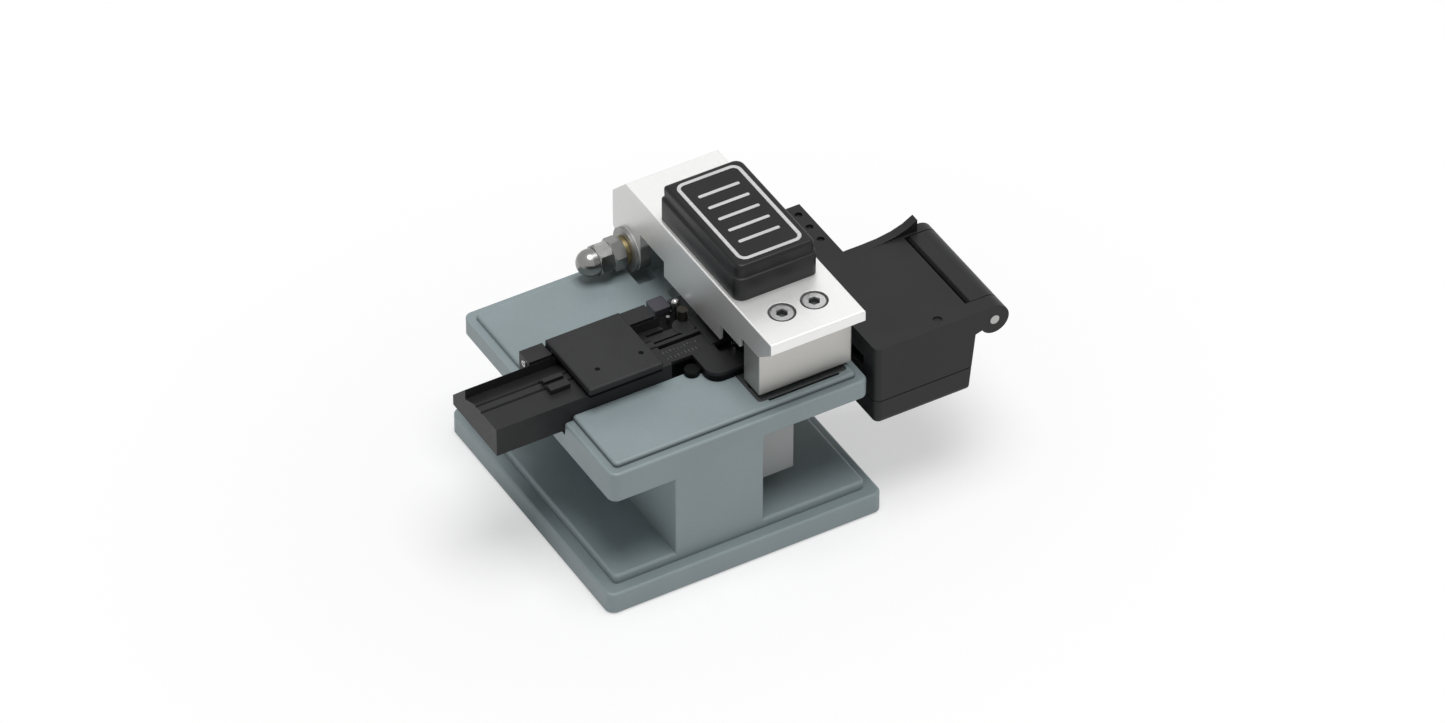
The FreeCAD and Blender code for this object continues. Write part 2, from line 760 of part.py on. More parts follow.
def make_cap_screws():
    """Two small screws that hold the cover from inside the arm's channel."""
    screws = []
    for index, along in enumerate(cap_peg_places()):
        screws.append(rod("cap_screw%d" % index, "z", (cap_middle(), along, s.arm_top), 1.0, 4.5))
    return deliver(group("cap_screw_group", screws), "cap_screws")


def make_cap_trim():
    """A plain rounded border and a row of bars, set on the crown."""
    top = s.arm_top + s.cap_skirt + s.cap_crown
    inset = s.cap_step + s.cap_taper + s.trim_margin
    outer_x = (s.cap_left + inset, s.cap_left + s.cap_width - inset)
    outer_y = (s.cap_front + inset, s.cap_front + s.cap_length - inset)
    line = s.trim_line
    outer = rounded("trim_outer_round", block("trim_outer", outer_x, outer_y, (top, top + s.trim_height)),
                    2.0, upright)
    inner = rounded("trim_inner_round", block("trim_inner", (outer_x[0] + line, outer_x[1] - line),
                                              (outer_y[0] + line, outer_y[1] - line),
                                              (top - 1, top + 1)), 1.1, upright)
    pieces = [cut("trim_border", outer, [inner])]
    centre = s.cap_front + s.cap_length / 2
    for index in range(5):
        middle = centre + s.bar_pitch * (index - 2)
        pieces.append(block("trim_bar%d" % index, (outer_x[0] + 3 * line, outer_x[1] - 3 * line),
                            (middle - line / 2, middle + line / 2), (top, top + s.trim_height)))
    return deliver(group("trim_group", pieces), "cap_trim")


def make_hinge_shaft():
    """Stepped shaft through the post and both lugs, with a head on the right and a thread on the left."""
    left = nut_stack()["acorn_dome"] + 0.5
    right = s.arm_left + s.arm_width + s.boss_height * 0.3 + 0.15
    shaft = rod("shaft_rod", "x", (left, s.hinge_y, s.hinge_height), s.shaft_radius, right - left + 0.5)
    head = rod("shaft_head", "x", (right, s.hinge_y, s.hinge_height), s.washer_radius, 2.2)
    slot = block("shaft_slot", (right + 1.4, right + 3), (s.hinge_y - 0.5, s.hinge_y + 0.5),
                 (s.hinge_height - 4, s.hinge_height + 4))
    return deliver(cut("shaft_body", fuse("shaft_blank", [shaft, head]), [slot]), "hinge_shaft")


def nut_stack():
    """Left ends of what sits on the shaft's thread, from the boss outwards."""
    washer = s.arm_left - s.boss_height - 0.1 - s.washer_thick
    nut = washer - s.nut_height
    acorn = nut - s.acorn_height
    return {"washer": washer, "nut": nut, "acorn": acorn, "acorn_dome": acorn - 1.2}


def make_hinge_nuts():
    stack = nut_stack()
    y, z = s.hinge_y, s.hinge_height
    ring = rod("washer_ring", "x", (stack["washer"], y, z), s.washer_radius, s.washer_thick)
    hole = rod("washer_hole", "x", (stack["washer"] - 1, y, z), s.shaft_radius, 4.0)
    deliver(cut("washer_body", ring, [hole]), "brass_washer")
    nut_common = chamfered_hex("nut", stack["nut"], s.nut_height, 12.0)
    hole = rod("nut_hole", "x", (stack["nut"] - 1, y, z), s.shaft_radius, 6.0)
    deliver(cut("nut_body", nut_common, [hole]), "hinge_nut")
    base_common = chamfered_hex("acorn", stack["acorn"], s.acorn_height, -14.0)
    neck = rod("acorn_neck", "x", (stack["acorn_dome"], y, z), s.dome_radius, 2.0)
    dome = ball("acorn_ball", (stack["acorn_dome"], y, z), s.dome_radius)
    hole = rod("acorn_hole", "x", (stack["acorn_dome"] + 0.5, y, z), s.shaft_radius, 6.0)
    deliver(cut("acorn_body", fuse("acorn_blank", [base_common, neck, dome]), [hole]), "acorn_nut")


def chamfered_hex(name, left, length, turn):
    """A hexagon nut body on the hinge axis, turned by some degrees, with coned corners at both ends."""
    y, z = s.hinge_y, s.hinge_height
    hexa = hexagon(name + "_hex", "x", (left, y, z), s.nut_flats, length)
    spin = FreeCAD.Rotation(FreeCAD.Vector(1, 0, 0), turn)
    place = hexa.Placement
    place.Rotation = spin.multiply(ALONG["x"])
    hexa.Placement = place
    corner = s.nut_flats * 0.58
    cone = 0.45
    left_cone = taper(name + "_left_cone", "x", (left, y, z), corner - cone * 1.3, corner, cone)
    middle = rod(name + "_middle", "x", (left + cone, y, z), corner, length - 2 * cone)
    right_cone = taper(name + "_right_cone", "x", (left + length - cone, y, z), corner, corner - cone * 1.3, cone)
    barrel = fuse(name + "_barrel", [left_cone, middle, right_cone])
    common = doc.addObject("Part::MultiCommon", name + "_common")
    common.Shapes = [hexa, barrel]
    return common


def make_clamp_brackets():
    """Left bracket beside the slot and right bridge over it, each with a tongue that carries a pad."""
    left = s.bracket_left
    right = s.bracket_right
    step = s.raised_back + 0.1
    nose_left = right - s.nose_width
    ridge_middle = (s.channel_front + s.channel_back) / 2
    nose = block("left_bracket_nose_blank", (nose_left, right), (s.nose_front, s.channel_front),
                 (s.raised_top, s.bracket_top))
    nose = rounded("left_bracket_nose", nose, s.nose_round,
                   lambda m, run: upright(m, run) and m.x < number(right) - 1
                   and m.y < number(s.nose_front) + 1)
    scale = block("left_bracket_scale_blank", (s.scale_left, nose_left + 0.2), (s.scale_front, s.channel_front),
                  (s.floor_top, s.bracket_top))
    scale = rounded("left_bracket_scale", scale, 0.8,
                    lambda m, run: upright(m, run) and m.x < number(s.scale_left) + 1
                    and m.y < number(s.scale_front) + 1)
    heel_y = s.raised_back - 0.7
    pieces = [
        nose,
        scale,
        block("left_bracket_foot", (left, right), (step, s.bracket_back), (s.floor_top, s.foot_top)),
        block("left_bracket_web", (nose_left, right), (step, s.channel_front), (s.foot_top - 1, s.raised_top + 1)),
        block("left_bracket_shelf", (right - 1, right + s.nose_reach), (s.nose_front, s.nose_back),
              (s.tongue_bottom, s.bracket_top)),
        block("left_bracket_bed", (s.scale_left, right), (s.channel_front, s.channel_back),
              (s.floor_top, s.channel_floor)),
        block("left_bracket_ridge", (s.scale_left, right),
              (ridge_middle - s.ridge_width / 2, ridge_middle + s.ridge_width / 2),
              (s.channel_floor - 1, s.ridge_top)),
        block("left_bracket_rail", (s.scale_left, right), (s.channel_back, s.rail_back),
              (s.floor_top, s.bracket_top)),
        rod("left_bracket_disc", "z", (right - s.disc_radius, s.rail_back - 0.6, s.foot_top - 1), s.disc_radius,
            s.bracket_top - s.foot_top + 1.1),
        rod("left_bracket_heel", "z", (nose_left - 1.8, heel_y, s.raised_top), 1.8, 1.3),
        block("left_bracket_heel_web", (nose_left - 1.8, nose_left + 0.5), (heel_y - 1.0, heel_y + 1.0),
              (s.raised_top, s.raised_top + 1.3)),
        block("left_bracket_tongue", (right - 0.5, s.blade_line - 1.6),
              (s.clamp_line - s.head_depth / 2, s.clamp_line + s.head_depth / 2),
              (s.tongue_bottom, s.pad_top - s.pad_height)),
    ]
    seats = []
    for index, (across, along, bottom, radius, _) in enumerate(bracket_pin_places()):
        seats.append(rod("left_bracket_seat%d" % index, "z", (across, along, bottom - 1.5), radius, 6.0))
    deliver(cut("left_bracket_body", fuse("left_bracket_blank", pieces), seats), "left_clamp_bracket")
    along = (s.clamp_line - s.pad_depth / 2, s.clamp_line + s.pad_depth / 2)

    foot_left = s.slot_right + 0.15
    foot_right = s.deck_right - s.deck_ledge - 0.2 + 1.0
    upright_block = block("right_bridge_foot", (foot_left, foot_right),
                          (s.clamp_line - 7, s.clamp_line + 7), (s.floor_top, s.bracket_top))
    reach = block("right_bridge_tongue", (s.blade_line + 1.6, foot_left + 1), along,
                  (s.tongue_bottom, s.pad_top - s.pad_height))
    deliver(fuse("right_bridge_body", [upright_block, reach]), "right_clamp_bridge")

    pads = [
        block("lower_pad_left", (s.head_left + 0.2, s.blade_line - 1.6), along,
              (s.pad_top - s.pad_height, s.pad_top)),
        block("lower_pad_right", (s.blade_line + 1.6, s.head_right - 0.4), along,
              (s.pad_top - s.pad_height, s.pad_top)),
    ]
    deliver(group("lower_pad_group", pads), "lower_clamp_pads")


def bracket_pin_places():
    """Across, along, foot, radius and height of the guide post, the detent pin and two stop pins."""
    return [
        (s.bracket_right - 1.6, s.rail_back + 1.7, s.foot_top, s.post_pin_radius, s.post_height),
        (s.bracket_right - 0.7, s.bracket_back - 1.9, s.foot_top, 0.5, s.detent_height - s.foot_top),
        (s.bracket_right - 3.2, s.bracket_back - 3.0, s.foot_top, 0.45, 1.8),
        (s.bracket_right + s.nose_reach - 0.9, s.nose_back - 0.9, s.bracket_top, 0.6, 1.1),
    ]


def make_bracket_pins():
    """Guide post, ball detent and two small stop pins, each pressed into the left bracket."""
    pins = []
    for index, (across, along, bottom, radius, height) in enumerate(bracket_pin_places()):
        pins.append(rod("bracket_pin%d" % index, "z", (across, along, bottom - 1.5), radius, height + 1.5))
    post, neck, *small = pins
    deliver(post, "guide_post")
    across, along, _, _, _ = bracket_pin_places()[1]
    tip = ball("detent_ball", (across, along, s.detent_height), s.detent_ball)
    deliver(fuse("detent_pin_body", [neck, tip]), "detent_pin")
    deliver(group("bracket_pin_group", small), "bracket_pins")


def groove_tool(name, middle, left, right, top):
    """A V-shaped cutter along the fibre."""
    half = s.groove_width / 2
    outline = [(middle - half, top + 0.5), (middle - half, top), (middle, top - s.groove_depth),
               (middle + half, top), (middle + half, top + 0.5)]
    return profile(name, "x", outline, left, right)


def make_upper_clamp():
    """Sprung upper clamp inside the arm: a head on two shouldered pins, its pads, springs and the anvil."""
    along = (s.clamp_line - s.head_depth / 2, s.clamp_line + s.head_depth / 2)
    bottom = s.head_bottom
    top = bottom + s.head_height
    head = block("head_blank", (s.head_left, s.head_right), along, (bottom, top))
    anvil_x, anvil_y = anvil_bounds()
    tools = [block("head_anvil_gap", (anvil_x[0] - 0.3, anvil_x[1] + 0.3), (anvil_y[0] - 0.3, anvil_y[1] + 0.3),
                   (bottom - 1, top + 1))]
    springs = []
    pins = []
    for index, place in enumerate(clamp_pin_places()):
        tools.append(rod("head_pin_hole%d" % index, "z", (s.blade_line, place, bottom - 1),
                         s.clamp_pin_radius + 0.06, s.head_height + 2))
        tools.append(rod("head_spring_seat%d" % index, "z", (s.blade_line, place, top - 2.4), 1.35, 3.0))
        tools.append(rod("head_pin_seat%d" % index, "z", (s.blade_line, place, bottom - 1), 1.35, 1.8))
        shank = rod("clamp_pin_shank%d" % index, "z", (s.blade_line, place, bottom + 0.2),
                    s.clamp_pin_radius, s.arm_under - bottom + 2.5)
        foot = rod("clamp_pin_foot%d" % index, "z", (s.blade_line, place, bottom + 0.1), 1.25, 0.6)
        pins.append(fuse("clamp_pin%d" % index, [shank, foot]))
        springs.append(spring("clamp_spring%d" % index, s.blade_line, place, top - 2.4, s.arm_under))
    deliver(cut("head_body", head, tools), "clamp_head")
    deliver(group("clamp_pin_group", pins), "clamp_pins")
    deliver(group("clamp_spring_group", springs), "clamp_springs")
    pad_along = (s.clamp_line - s.pad_depth / 2, s.clamp_line + s.pad_depth / 2)
    pads = [
        block("upper_pad_left", (s.head_left + 0.2, s.blade_line - 1.6), pad_along, (bottom - s.pad_height, bottom)),
        block("upper_pad_right", (s.blade_line + 1.6, s.head_right - 0.4), pad_along,
              (bottom - s.pad_height, bottom)),
    ]
    deliver(group("upper_pad_group", pads), "upper_clamp_pads")
    tip = s.pad_top + 0.5
    anvil = block("anvil_bar", anvil_x, anvil_y, (tip, s.arm_under + 2.5))
    anvil = rounded("anvil_body", anvil, 0.4, lambda m, run: near(m.z, tip) and abs(run.y) > 1)
    return deliver(anvil, "anvil")


def spring(name, x, y, low, high):
    """A closed coil of small rings, drawn as stacked turns between two heights."""
    wire = 0.16
    radius = 1.0
    turns = 5
    rings = []
    for turn in range(turns):
        ring = doc.addObject("Part::Torus", "%s_turn%d" % (name, turn))
        ring.Radius1 = radius
        ring.Radius2 = wire
        share = turn / (turns - 1)
        put(ring, x, y, low + wire + (high - low - 2 * wire) * share)
        rings.append(ring)
    link = rod(name + "_link", "z", (x + radius, y, low + wire), wire * 0.9, high - low - 2 * wire)
    return fuse(name, rings + [link])


def make_holder():
    """Grooved fibre holder: one long extruded section with ears for the lid's hinge pin."""
    bevel_foot = s.rib_top - (s.holder_back - s.rib_front)
    outline = [
        (s.holder_front, s.floor_top),
        (s.holder_front, s.holder_top),
        (s.groove_far + 0.5, s.holder_top),
        (s.rib_front, s.trough_floor),
        (s.rib_front, s.rib_top),
        (s.holder_back, bevel_foot),
        (s.holder_back, s.floor_top),
    ]
    bar = profile("holder_bar", "x", outline, s.holder_left, s.holder_right)
    ears = [
        block("holder_ear_left", (s.ear_left, s.lid_left - s.lid_gap), (s.rib_front + 1.0, s.holder_back - 0.2),
              (bevel_foot - 2, s.ear_top)),
        block("holder_ear_right", (s.lid_right + s.lid_gap, s.ear_right), (s.rib_front + 1.0, s.holder_back - 0.2),
              (bevel_foot - 2, s.ear_top)),
    ]
    body = fuse("holder_eared", [bar] + ears)
    lid_room_x = (s.lid_left - s.lid_gap, s.lid_right + s.lid_gap)
    tools = [
        block("holder_lid_room", lid_room_x, (s.holder_front - 5, s.holder_back + 1),
              (s.lid_bottom - s.lid_gap, s.lid_bottom + 9)),
        block("holder_knuckle_room", lid_room_x,
              (s.lid_axis_y - s.knuckle_radius - s.lid_gap, s.holder_back + 1),
              (s.lid_axis_height - s.knuckle_radius - s.lid_gap, s.lid_bottom + 9)),
        block("holder_scale_room", (s.holder_step, s.holder_right + 1),
              (s.holder_front - 1, s.rail_back + 0.2), (s.floor_top - 1, s.holder_top + 3)),
        rod("holder_pin_bore", "x", (s.ear_left - 1, s.lid_axis_y, s.lid_axis_height), s.lid_pin_radius,
            s.ear_right - s.ear_left + 2.3),
    ]
    for index, groove in enumerate((s.groove_near, s.groove_far)):
        tools.append(groove_tool("holder_groove%d" % index, groove, s.holder_left - 1, s.holder_right + 1,
                                 s.holder_top))
    for index, (across, along) in enumerate(magnet_places()):
        tools.append(rod("holder_magnet_seat%d" % index, "z",
                         (across, along, s.holder_top - s.magnet_height - 0.1), s.magnet_radius, 3.0))
    for index, (across, along) in enumerate(holder_screw_places()):
        tools.append(rod("holder_thread%d" % index, "z", (across, along, s.floor_top - 1), 1.5,
                         s.deck_under + 9.7 - s.floor_top + 1))
    body = cut("holder_body", body, tools)
    return deliver(body, "fibre_holder")


def magnet_places():
    return [(s.lid_left + 5.0, s.groove_near - 2.6), (s.lid_right - 2.6, s.groove_near - 2.6)]


def make_holder_clip():
    """Small fibre clip that straddles the grooves in front of the lid."""
    base = block("clip_base", (-33.5, -28.6), (s.groove_near - 2.6, s.groove_far + 0.4),
                 (s.holder_top, s.holder_top + 0.4))
    near_jaw = block("clip_near", (-33.5, -28.6), (s.groove_near - 2.6, s.groove_near - 0.6),
                     (s.holder_top, s.holder_top + 1.3))
    far_jaw = block("clip_far", (-33.5, -28.6), (s.groove_near + 0.6, s.groove_far - 0.6),
                    (s.holder_top, s.holder_top + 1.3))
    return deliver(fuse("clip_body", [base, near_jaw, far_jaw]), "fibre_clip")


def make_lid():
    top = s.lid_bottom + s.lid_thick
    plate = block("lid_plate", (s.lid_left, s.lid_right), (s.lid_front, s.lid_back), (s.lid_bottom, top))
    plate = rounded("lid_plate_round", plate, 0.5,
                    lambda m, run: near(m.z, top) or (upright(m, run) and m.y < number(s.lid_front) + 1))
    knuckle = rod("lid_knuckle", "x", (s.lid_left, s.lid_axis_y, s.lid_axis_height), s.knuckle_radius,
                  s.lid_right - s.lid_left)
    web = block("lid_web", (s.lid_left, s.lid_right),
                (s.lid_axis_y - s.knuckle_radius * 0.9, s.lid_axis_y + s.knuckle_radius * 0.6),
                (s.lid_axis_height, s.lid_bottom + 0.5))
    tools = [rod("lid_pin_bore", "x", (s.lid_left - 1, s.lid_axis_y, s.lid_axis_height),
                 s.lid_pin_radius + s.shaft_gap, s.lid_right - s.lid_left + 2)]
    for index, (across, along) in enumerate(magnet_places()):
        tools.append(rod("lid_magnet_seat%d" % index, "z", (across, along, s.lid_bottom - 1), s.magnet_radius,
                         s.magnet_height + 1))
        tools.append(rod("lid_peep_hole%d" % index, "z", (across, along, s.lid_bottom), 0.6, 4.0))
    pad_x, pad_y = lid_pad_bounds()
    tools.append(block("lid_pad_seat", pad_x, pad_y, (s.lid_bottom - 1, s.lid_bottom + 0.8)))
    return deliver(cut("lid_body", fuse("lid_blank", [plate, knuckle, web]), tools), "holder_lid")


def lid_pad_bounds():
    across = (s.lid_left + 7.6, s.lid_right - 5.0)
    along = (s.groove_near - 3.4, s.groove_far + 0.4)
    return across, along


def make_lid_hardware():
    pad_x, pad_y = lid_pad_bounds()
    deliver(block("lid_pad_body", pad_x, pad_y, (s.holder_top + 0.1, s.lid_bottom + 0.8)), "lid_pad")
    lid_magnets = []
    holder_magnets = []
    for index, (across, along) in enumerate(magnet_places()):
        lid_magnets.append(rod("lid_magnet%d" % index, "z", (across, along, s.lid_bottom), s.magnet_radius,
                               s.magnet_height))
        holder_magnets.append(rod("holder_magnet%d" % index, "z",
                                  (across, along, s.holder_top - s.magnet_height - 0.1), s.magnet_radius,
                                  s.magnet_height))
    deliver(group("lid_magnet_group", lid_magnets), "lid_magnets")
    deliver(group("holder_magnet_group", holder_magnets), "holder_magnets")
    pin = rod("lid_pin_rod", "x", (s.ear_left - 0.3, s.lid_axis_y, s.lid_axis_height), s.lid_pin_radius,
              s.ear_right - s.ear_left - 0.7)
    deliver(pin, "lid_hinge_pin")


def make_carriage():
    """Blade carriage: a block that hangs below the deck on a tongue, and a plate flush with the deck."""
    left = s.column_right + s.slide_gap * 6
    under_plate = s.plate_top - s.plate_thick
    body = block("carriage_blank", (left, s.carriage_right), (s.carriage_front, s.carriage_back),
                 (s.carriage_bottom, under_plate))
    blade_x = blade_room()
    well = rod("carriage_blade_well", "x", (blade_x[0], s.blade_y, blade_height()), s.blade_radius + 0.5,
               blade_x[1] - blade_x[0])
    arbor_bore = rod("carriage_arbor_bore", "x", (blade_x[1] - 1, s.blade_y, blade_height()),
                     s.spindle_radius + 0.03, 20.0)
    shoulder = block("carriage_shoulder", (left - 1, s.well_left + s.plate_gap),
                     (s.carriage_front - 1, s.carriage_back + 1), (s.right_under - 0.3, under_plate + 1))
    tools = [well, arbor_bore, shoulder]
    for index, along in enumerate(plate_screw_places()):
        tools.append(rod("carriage_thread%d" % index, "z",
                         (s.carriage_right - 2.0, along, under_plate - 5), 1.0, 6.0))
    for index, along in enumerate(tongue_screw_places()):
        tools.append(rod("carriage_side_thread%d" % index, "x", (left - 1, along, s.tongue_height), 1.0, 4.0))
    body = cut("carriage_cut", body, tools)
    body = rounded("carriage_body", body, 0.4,
                   lambda m, run: near(m.x, s.carriage_right) and near(m.y, s.carriage_front)
                   or near(m.y, s.carriage_front) and near(m.z, s.carriage_bottom))
    deliver(body, "blade_carriage")

    plate = block("plate_blank", (s.slot_left + s.plate_gap, s.slot_right - s.plate_gap),
                  (s.slot_front + s.plate_gap, s.plate_back), (under_plate, s.plate_top))
    plate = rounded("plate_round", plate, s.slot_round - s.plate_gap / 2, upright)
    tools = [
        block("plate_blade_slot", (s.blade_line - s.blade_thick / 2 - 0.5, s.blade_line + s.blade_thick / 2 + 0.5),
              (s.blade_y - s.blade_radius - 0.4, s.blade_y + s.blade_radius + 0.4),
              (under_plate - 1, s.plate_top + 1)),
        block("plate_hub_window", (blade_x[0] + 0.4, blade_x[1]),
              (s.blade_y - s.hub_radius - 0.5, s.blade_y + s.hub_radius + 0.5),
              (under_plate - 1, s.plate_top + 1)),
        rod("plate_pin_hole", "z", (s.slot_left + 1.3, -23.5, s.plate_top - 1), 0.55, 2.0),
    ]
    for index, along in enumerate(plate_screw_places()):
        tools.append(rod("plate_screw_hole%d" % index, "z",
                         (s.carriage_right - 2.0, along, under_plate - 1), 1.0, 6.0))
        tools.append(rod("plate_screw_seat%d" % index, "z",
                         (s.carriage_right - 2.0, along, s.plate_top - 1.2), 1.9, 3.0))
    deliver(cut("plate_body", plate, tools), "carriage_plate")

    screws = []
    for index, along in enumerate(plate_screw_places()):
        screws.append(socket_screw("plate_screw%d" % index,
                                   (s.carriage_right - 2.0, along, s.plate_top - 0.1),
                                   1.8, 1.1, 1.0, 5.5, 1.3))
    deliver(group("plate_screw_group", screws), "plate_screws")


def blade_room():
    """Left and right sides of the narrow room that the blade turns in."""
    return s.blade_line - s.blade_thick / 2 - 1.5, s.blade_line + s.blade_thick / 2 + 1.0


def plate_screw_places():
    return [s.blade_y - s.blade_radius - 0.6, s.blade_y + s.blade_radius - 1.6]


def blade_height():
    return s.pad_top - s.blade_radius - 0.1


def tongue_outline(gap, right):
    """Section of the T-shaped tongue in the column, as (x, z) corners from its root on the right."""
    head_left = s.column_right - s.tongue_head - s.tongue_neck - gap
    head_right = s.column_right - s.tongue_neck + gap
    low = s.tongue_height - s.tongue_width / 2
    high = s.tongue_height + s.tongue_width / 2
    step = s.tongue_width / 8
    return [
        (right, low + step - gap),
        (head_right, low + step - gap),
        (head_right, low - gap),
        (head_left, low - gap),
        (head_left, high + gap),
        (head_right, high + gap),
        (head_right, high - step + gap),
        (right, high - step + gap),
    ]


def make_tongue():
    """T-shaped tongue on the carriage, its screws, and the stop plate that closes its groove."""
    root = s.column_right + s.slide_gap * 6
    bar = profile("tongue_bar", "y", tongue_outline(Dim("0", 0), root), s.carriage_front + 0.6, s.tongue_back)
    head = s.column_right - s.tongue_head - s.tongue_neck
    tools = []
    screws = []
    for index, along in enumerate(tongue_screw_places()):
        tools.append(rod("tongue_screw_seat%d" % index, "x", (head - 1, along, s.tongue_height), 1.9, 2.3))
        tools.append(rod("tongue_screw_hole%d" % index, "x", (head - 1, along, s.tongue_height), 1.0, 8.0))
        cap = rod("tongue_screw_head%d" % index, "x", (head + 0.1, along, s.tongue_height), 1.8, 1.2)
        shank = rod("tongue_screw_shank%d" % index, "x", (head + 0.2, along, s.tongue_height), 1.0,
                    root - head + 2.6)
        socket = hexagon("tongue_screw_socket%d" % index, "x", (head - 1, along, s.tongue_height), 1.3, 1.8)
        screws.append(cut("tongue_screw%d" % index, fuse("tongue_screw_blank%d" % index, [cap, shank]), [socket]))
    deliver(cut("tongue_body", bar, tools), "slide_tongue")
    deliver(group("tongue_screw_group", screws), "tongue_screws")

    plate = block("stop_blank", (s.column_right - 10.0, s.column_right - 0.4), (s.column_back, s.column_back + 1.6),
                  (s.tongue_height - s.tongue_width / 2 - 5, s.tongue_height + s.tongue_width / 2 + 1.5))
    plate = rounded("stop_round", plate, 1.2, lambda m, run: abs(run.y) > 1 and abs(run.x) < 0.1)
    places = stop_screw_places()
    holes = [rod("stop_hole%d" % index, "y", (across, s.column_back - 1, height), 1.0, 5.0)
             for index, (across, height) in enumerate(places)]
    deliver(cut("stop_body", plate, holes), "slide_stop")
    screws = []
    for index, (across, height) in enumerate(places):
        shank = rod("stop_screw_shank%d" % index, "y", (across, s.column_back - 4, height), 1.0, 6.0)
        cap = rod("stop_screw_head%d" % index, "y", (across, s.column_back + 1.6, height), 1.8, 1.6)
        socket = hexagon("stop_screw_socket%d" % index, "y", (across, s.column_back + 2.4, height), 1.5, 2.0)
        screws.append(cut("stop_screw%d" % index, fuse("stop_screw_blank%d" % index, [cap, shank]), [socket]))
    deliver(group("stop_screw_group", screws), "stop_screws")


def tongue_screw_places():
    return [s.carriage_front + 3.0, s.carriage_back - 3.0]


def stop_screw_places():
    height = s.tongue_height - s.tongue_width / 2 - 2.4
    return [(s.column_right - 8.0, height), (s.column_right - 2.6, height)]


def make_blade():
    left = s.blade_line - s.blade_thick / 2
    right = s.blade_line + s.blade_thick / 2
    height = blade_height()
    bevel = 0.8
    disc = rod("blade_core", "x", (left, s.blade_y, height), s.blade_radius - bevel, s.blade_thick)
    left_edge = taper("blade_left_edge", "x", (left, s.blade_y, height), s.blade_radius - bevel, s.blade_radius,
                      s.blade_thick / 2)
    right_edge = taper("blade_right_edge", "x", (s.blade_line, s.blade_y, height), s.blade_radius,
                       s.blade_radius - bevel, s.blade_thick / 2)
    bore = rod("blade_hole", "x", (left - 1, s.blade_y, height), s.blade_bore, 4.0)
    deliver(cut("blade_body", fuse("blade_blank", [disc, left_edge, right_edge]), [bore]), "blade_disc")

    flange = rod("arbor_flange", "x", (right, s.blade_y, height), s.hub_radius, 0.8)
    hub = rod("arbor_hub", "x", (left - 1.1, s.blade_y, height), s.blade_bore, right - left + 1.2)
    spindle = rod("arbor_spindle", "x", (right + 0.5, s.blade_y, height), s.spindle_radius,
                  s.carriage_right - right - 0.7)
    socket = hexagon("arbor_socket", "x", (s.carriage_right - 1.6, s.blade_y, height), 2.0, 3.0)
    deliver(cut("arbor_body", fuse("arbor_blank", [flange, hub, spindle]), [socket]), "blade_arbor")

    ring = rod("blade_nut_ring", "x", (left - 1.1, s.blade_y, height), s.hub_radius, 1.1)
    hole = rod("blade_nut_hole", "x", (left - 2, s.blade_y, height), s.blade_bore, 4.0)
    notch = block("blade_nut_notch", (left - 2, left - 0.6), (s.blade_y - 5, s.blade_y + 5),
                  (height - 0.4, height + 0.4))
    deliver(cut("blade_nut_body", ring, [hole, notch]), "blade_clamp_nut")


def cover_outline():
    """Section of the cover's end wall, running into the hinge knuckle, as (x, z) corners."""
    axis_x, axis_z = s.scrap_axis_x, s.scrap_axis_height
    return [
        (s.cover_left, s.cover_bottom),
        (s.cover_left, s.cover_top),
        (axis_x, s.cover_top),
        (axis_x, axis_z - 1.0),
        (box_edge(axis_z - 2.4), axis_z - 2.4),
        (box_edge(s.cover_bottom), s.cover_bottom),
    ]


def box_edge(height):
    """The drafted right side of the box and cover at a height."""
    slope = (s.box_waist_right - s.box_foot_right) / (s.scrap_axis_height - s.box_bottom)
    return s.box_foot_right + slope * (height - s.box_bottom)


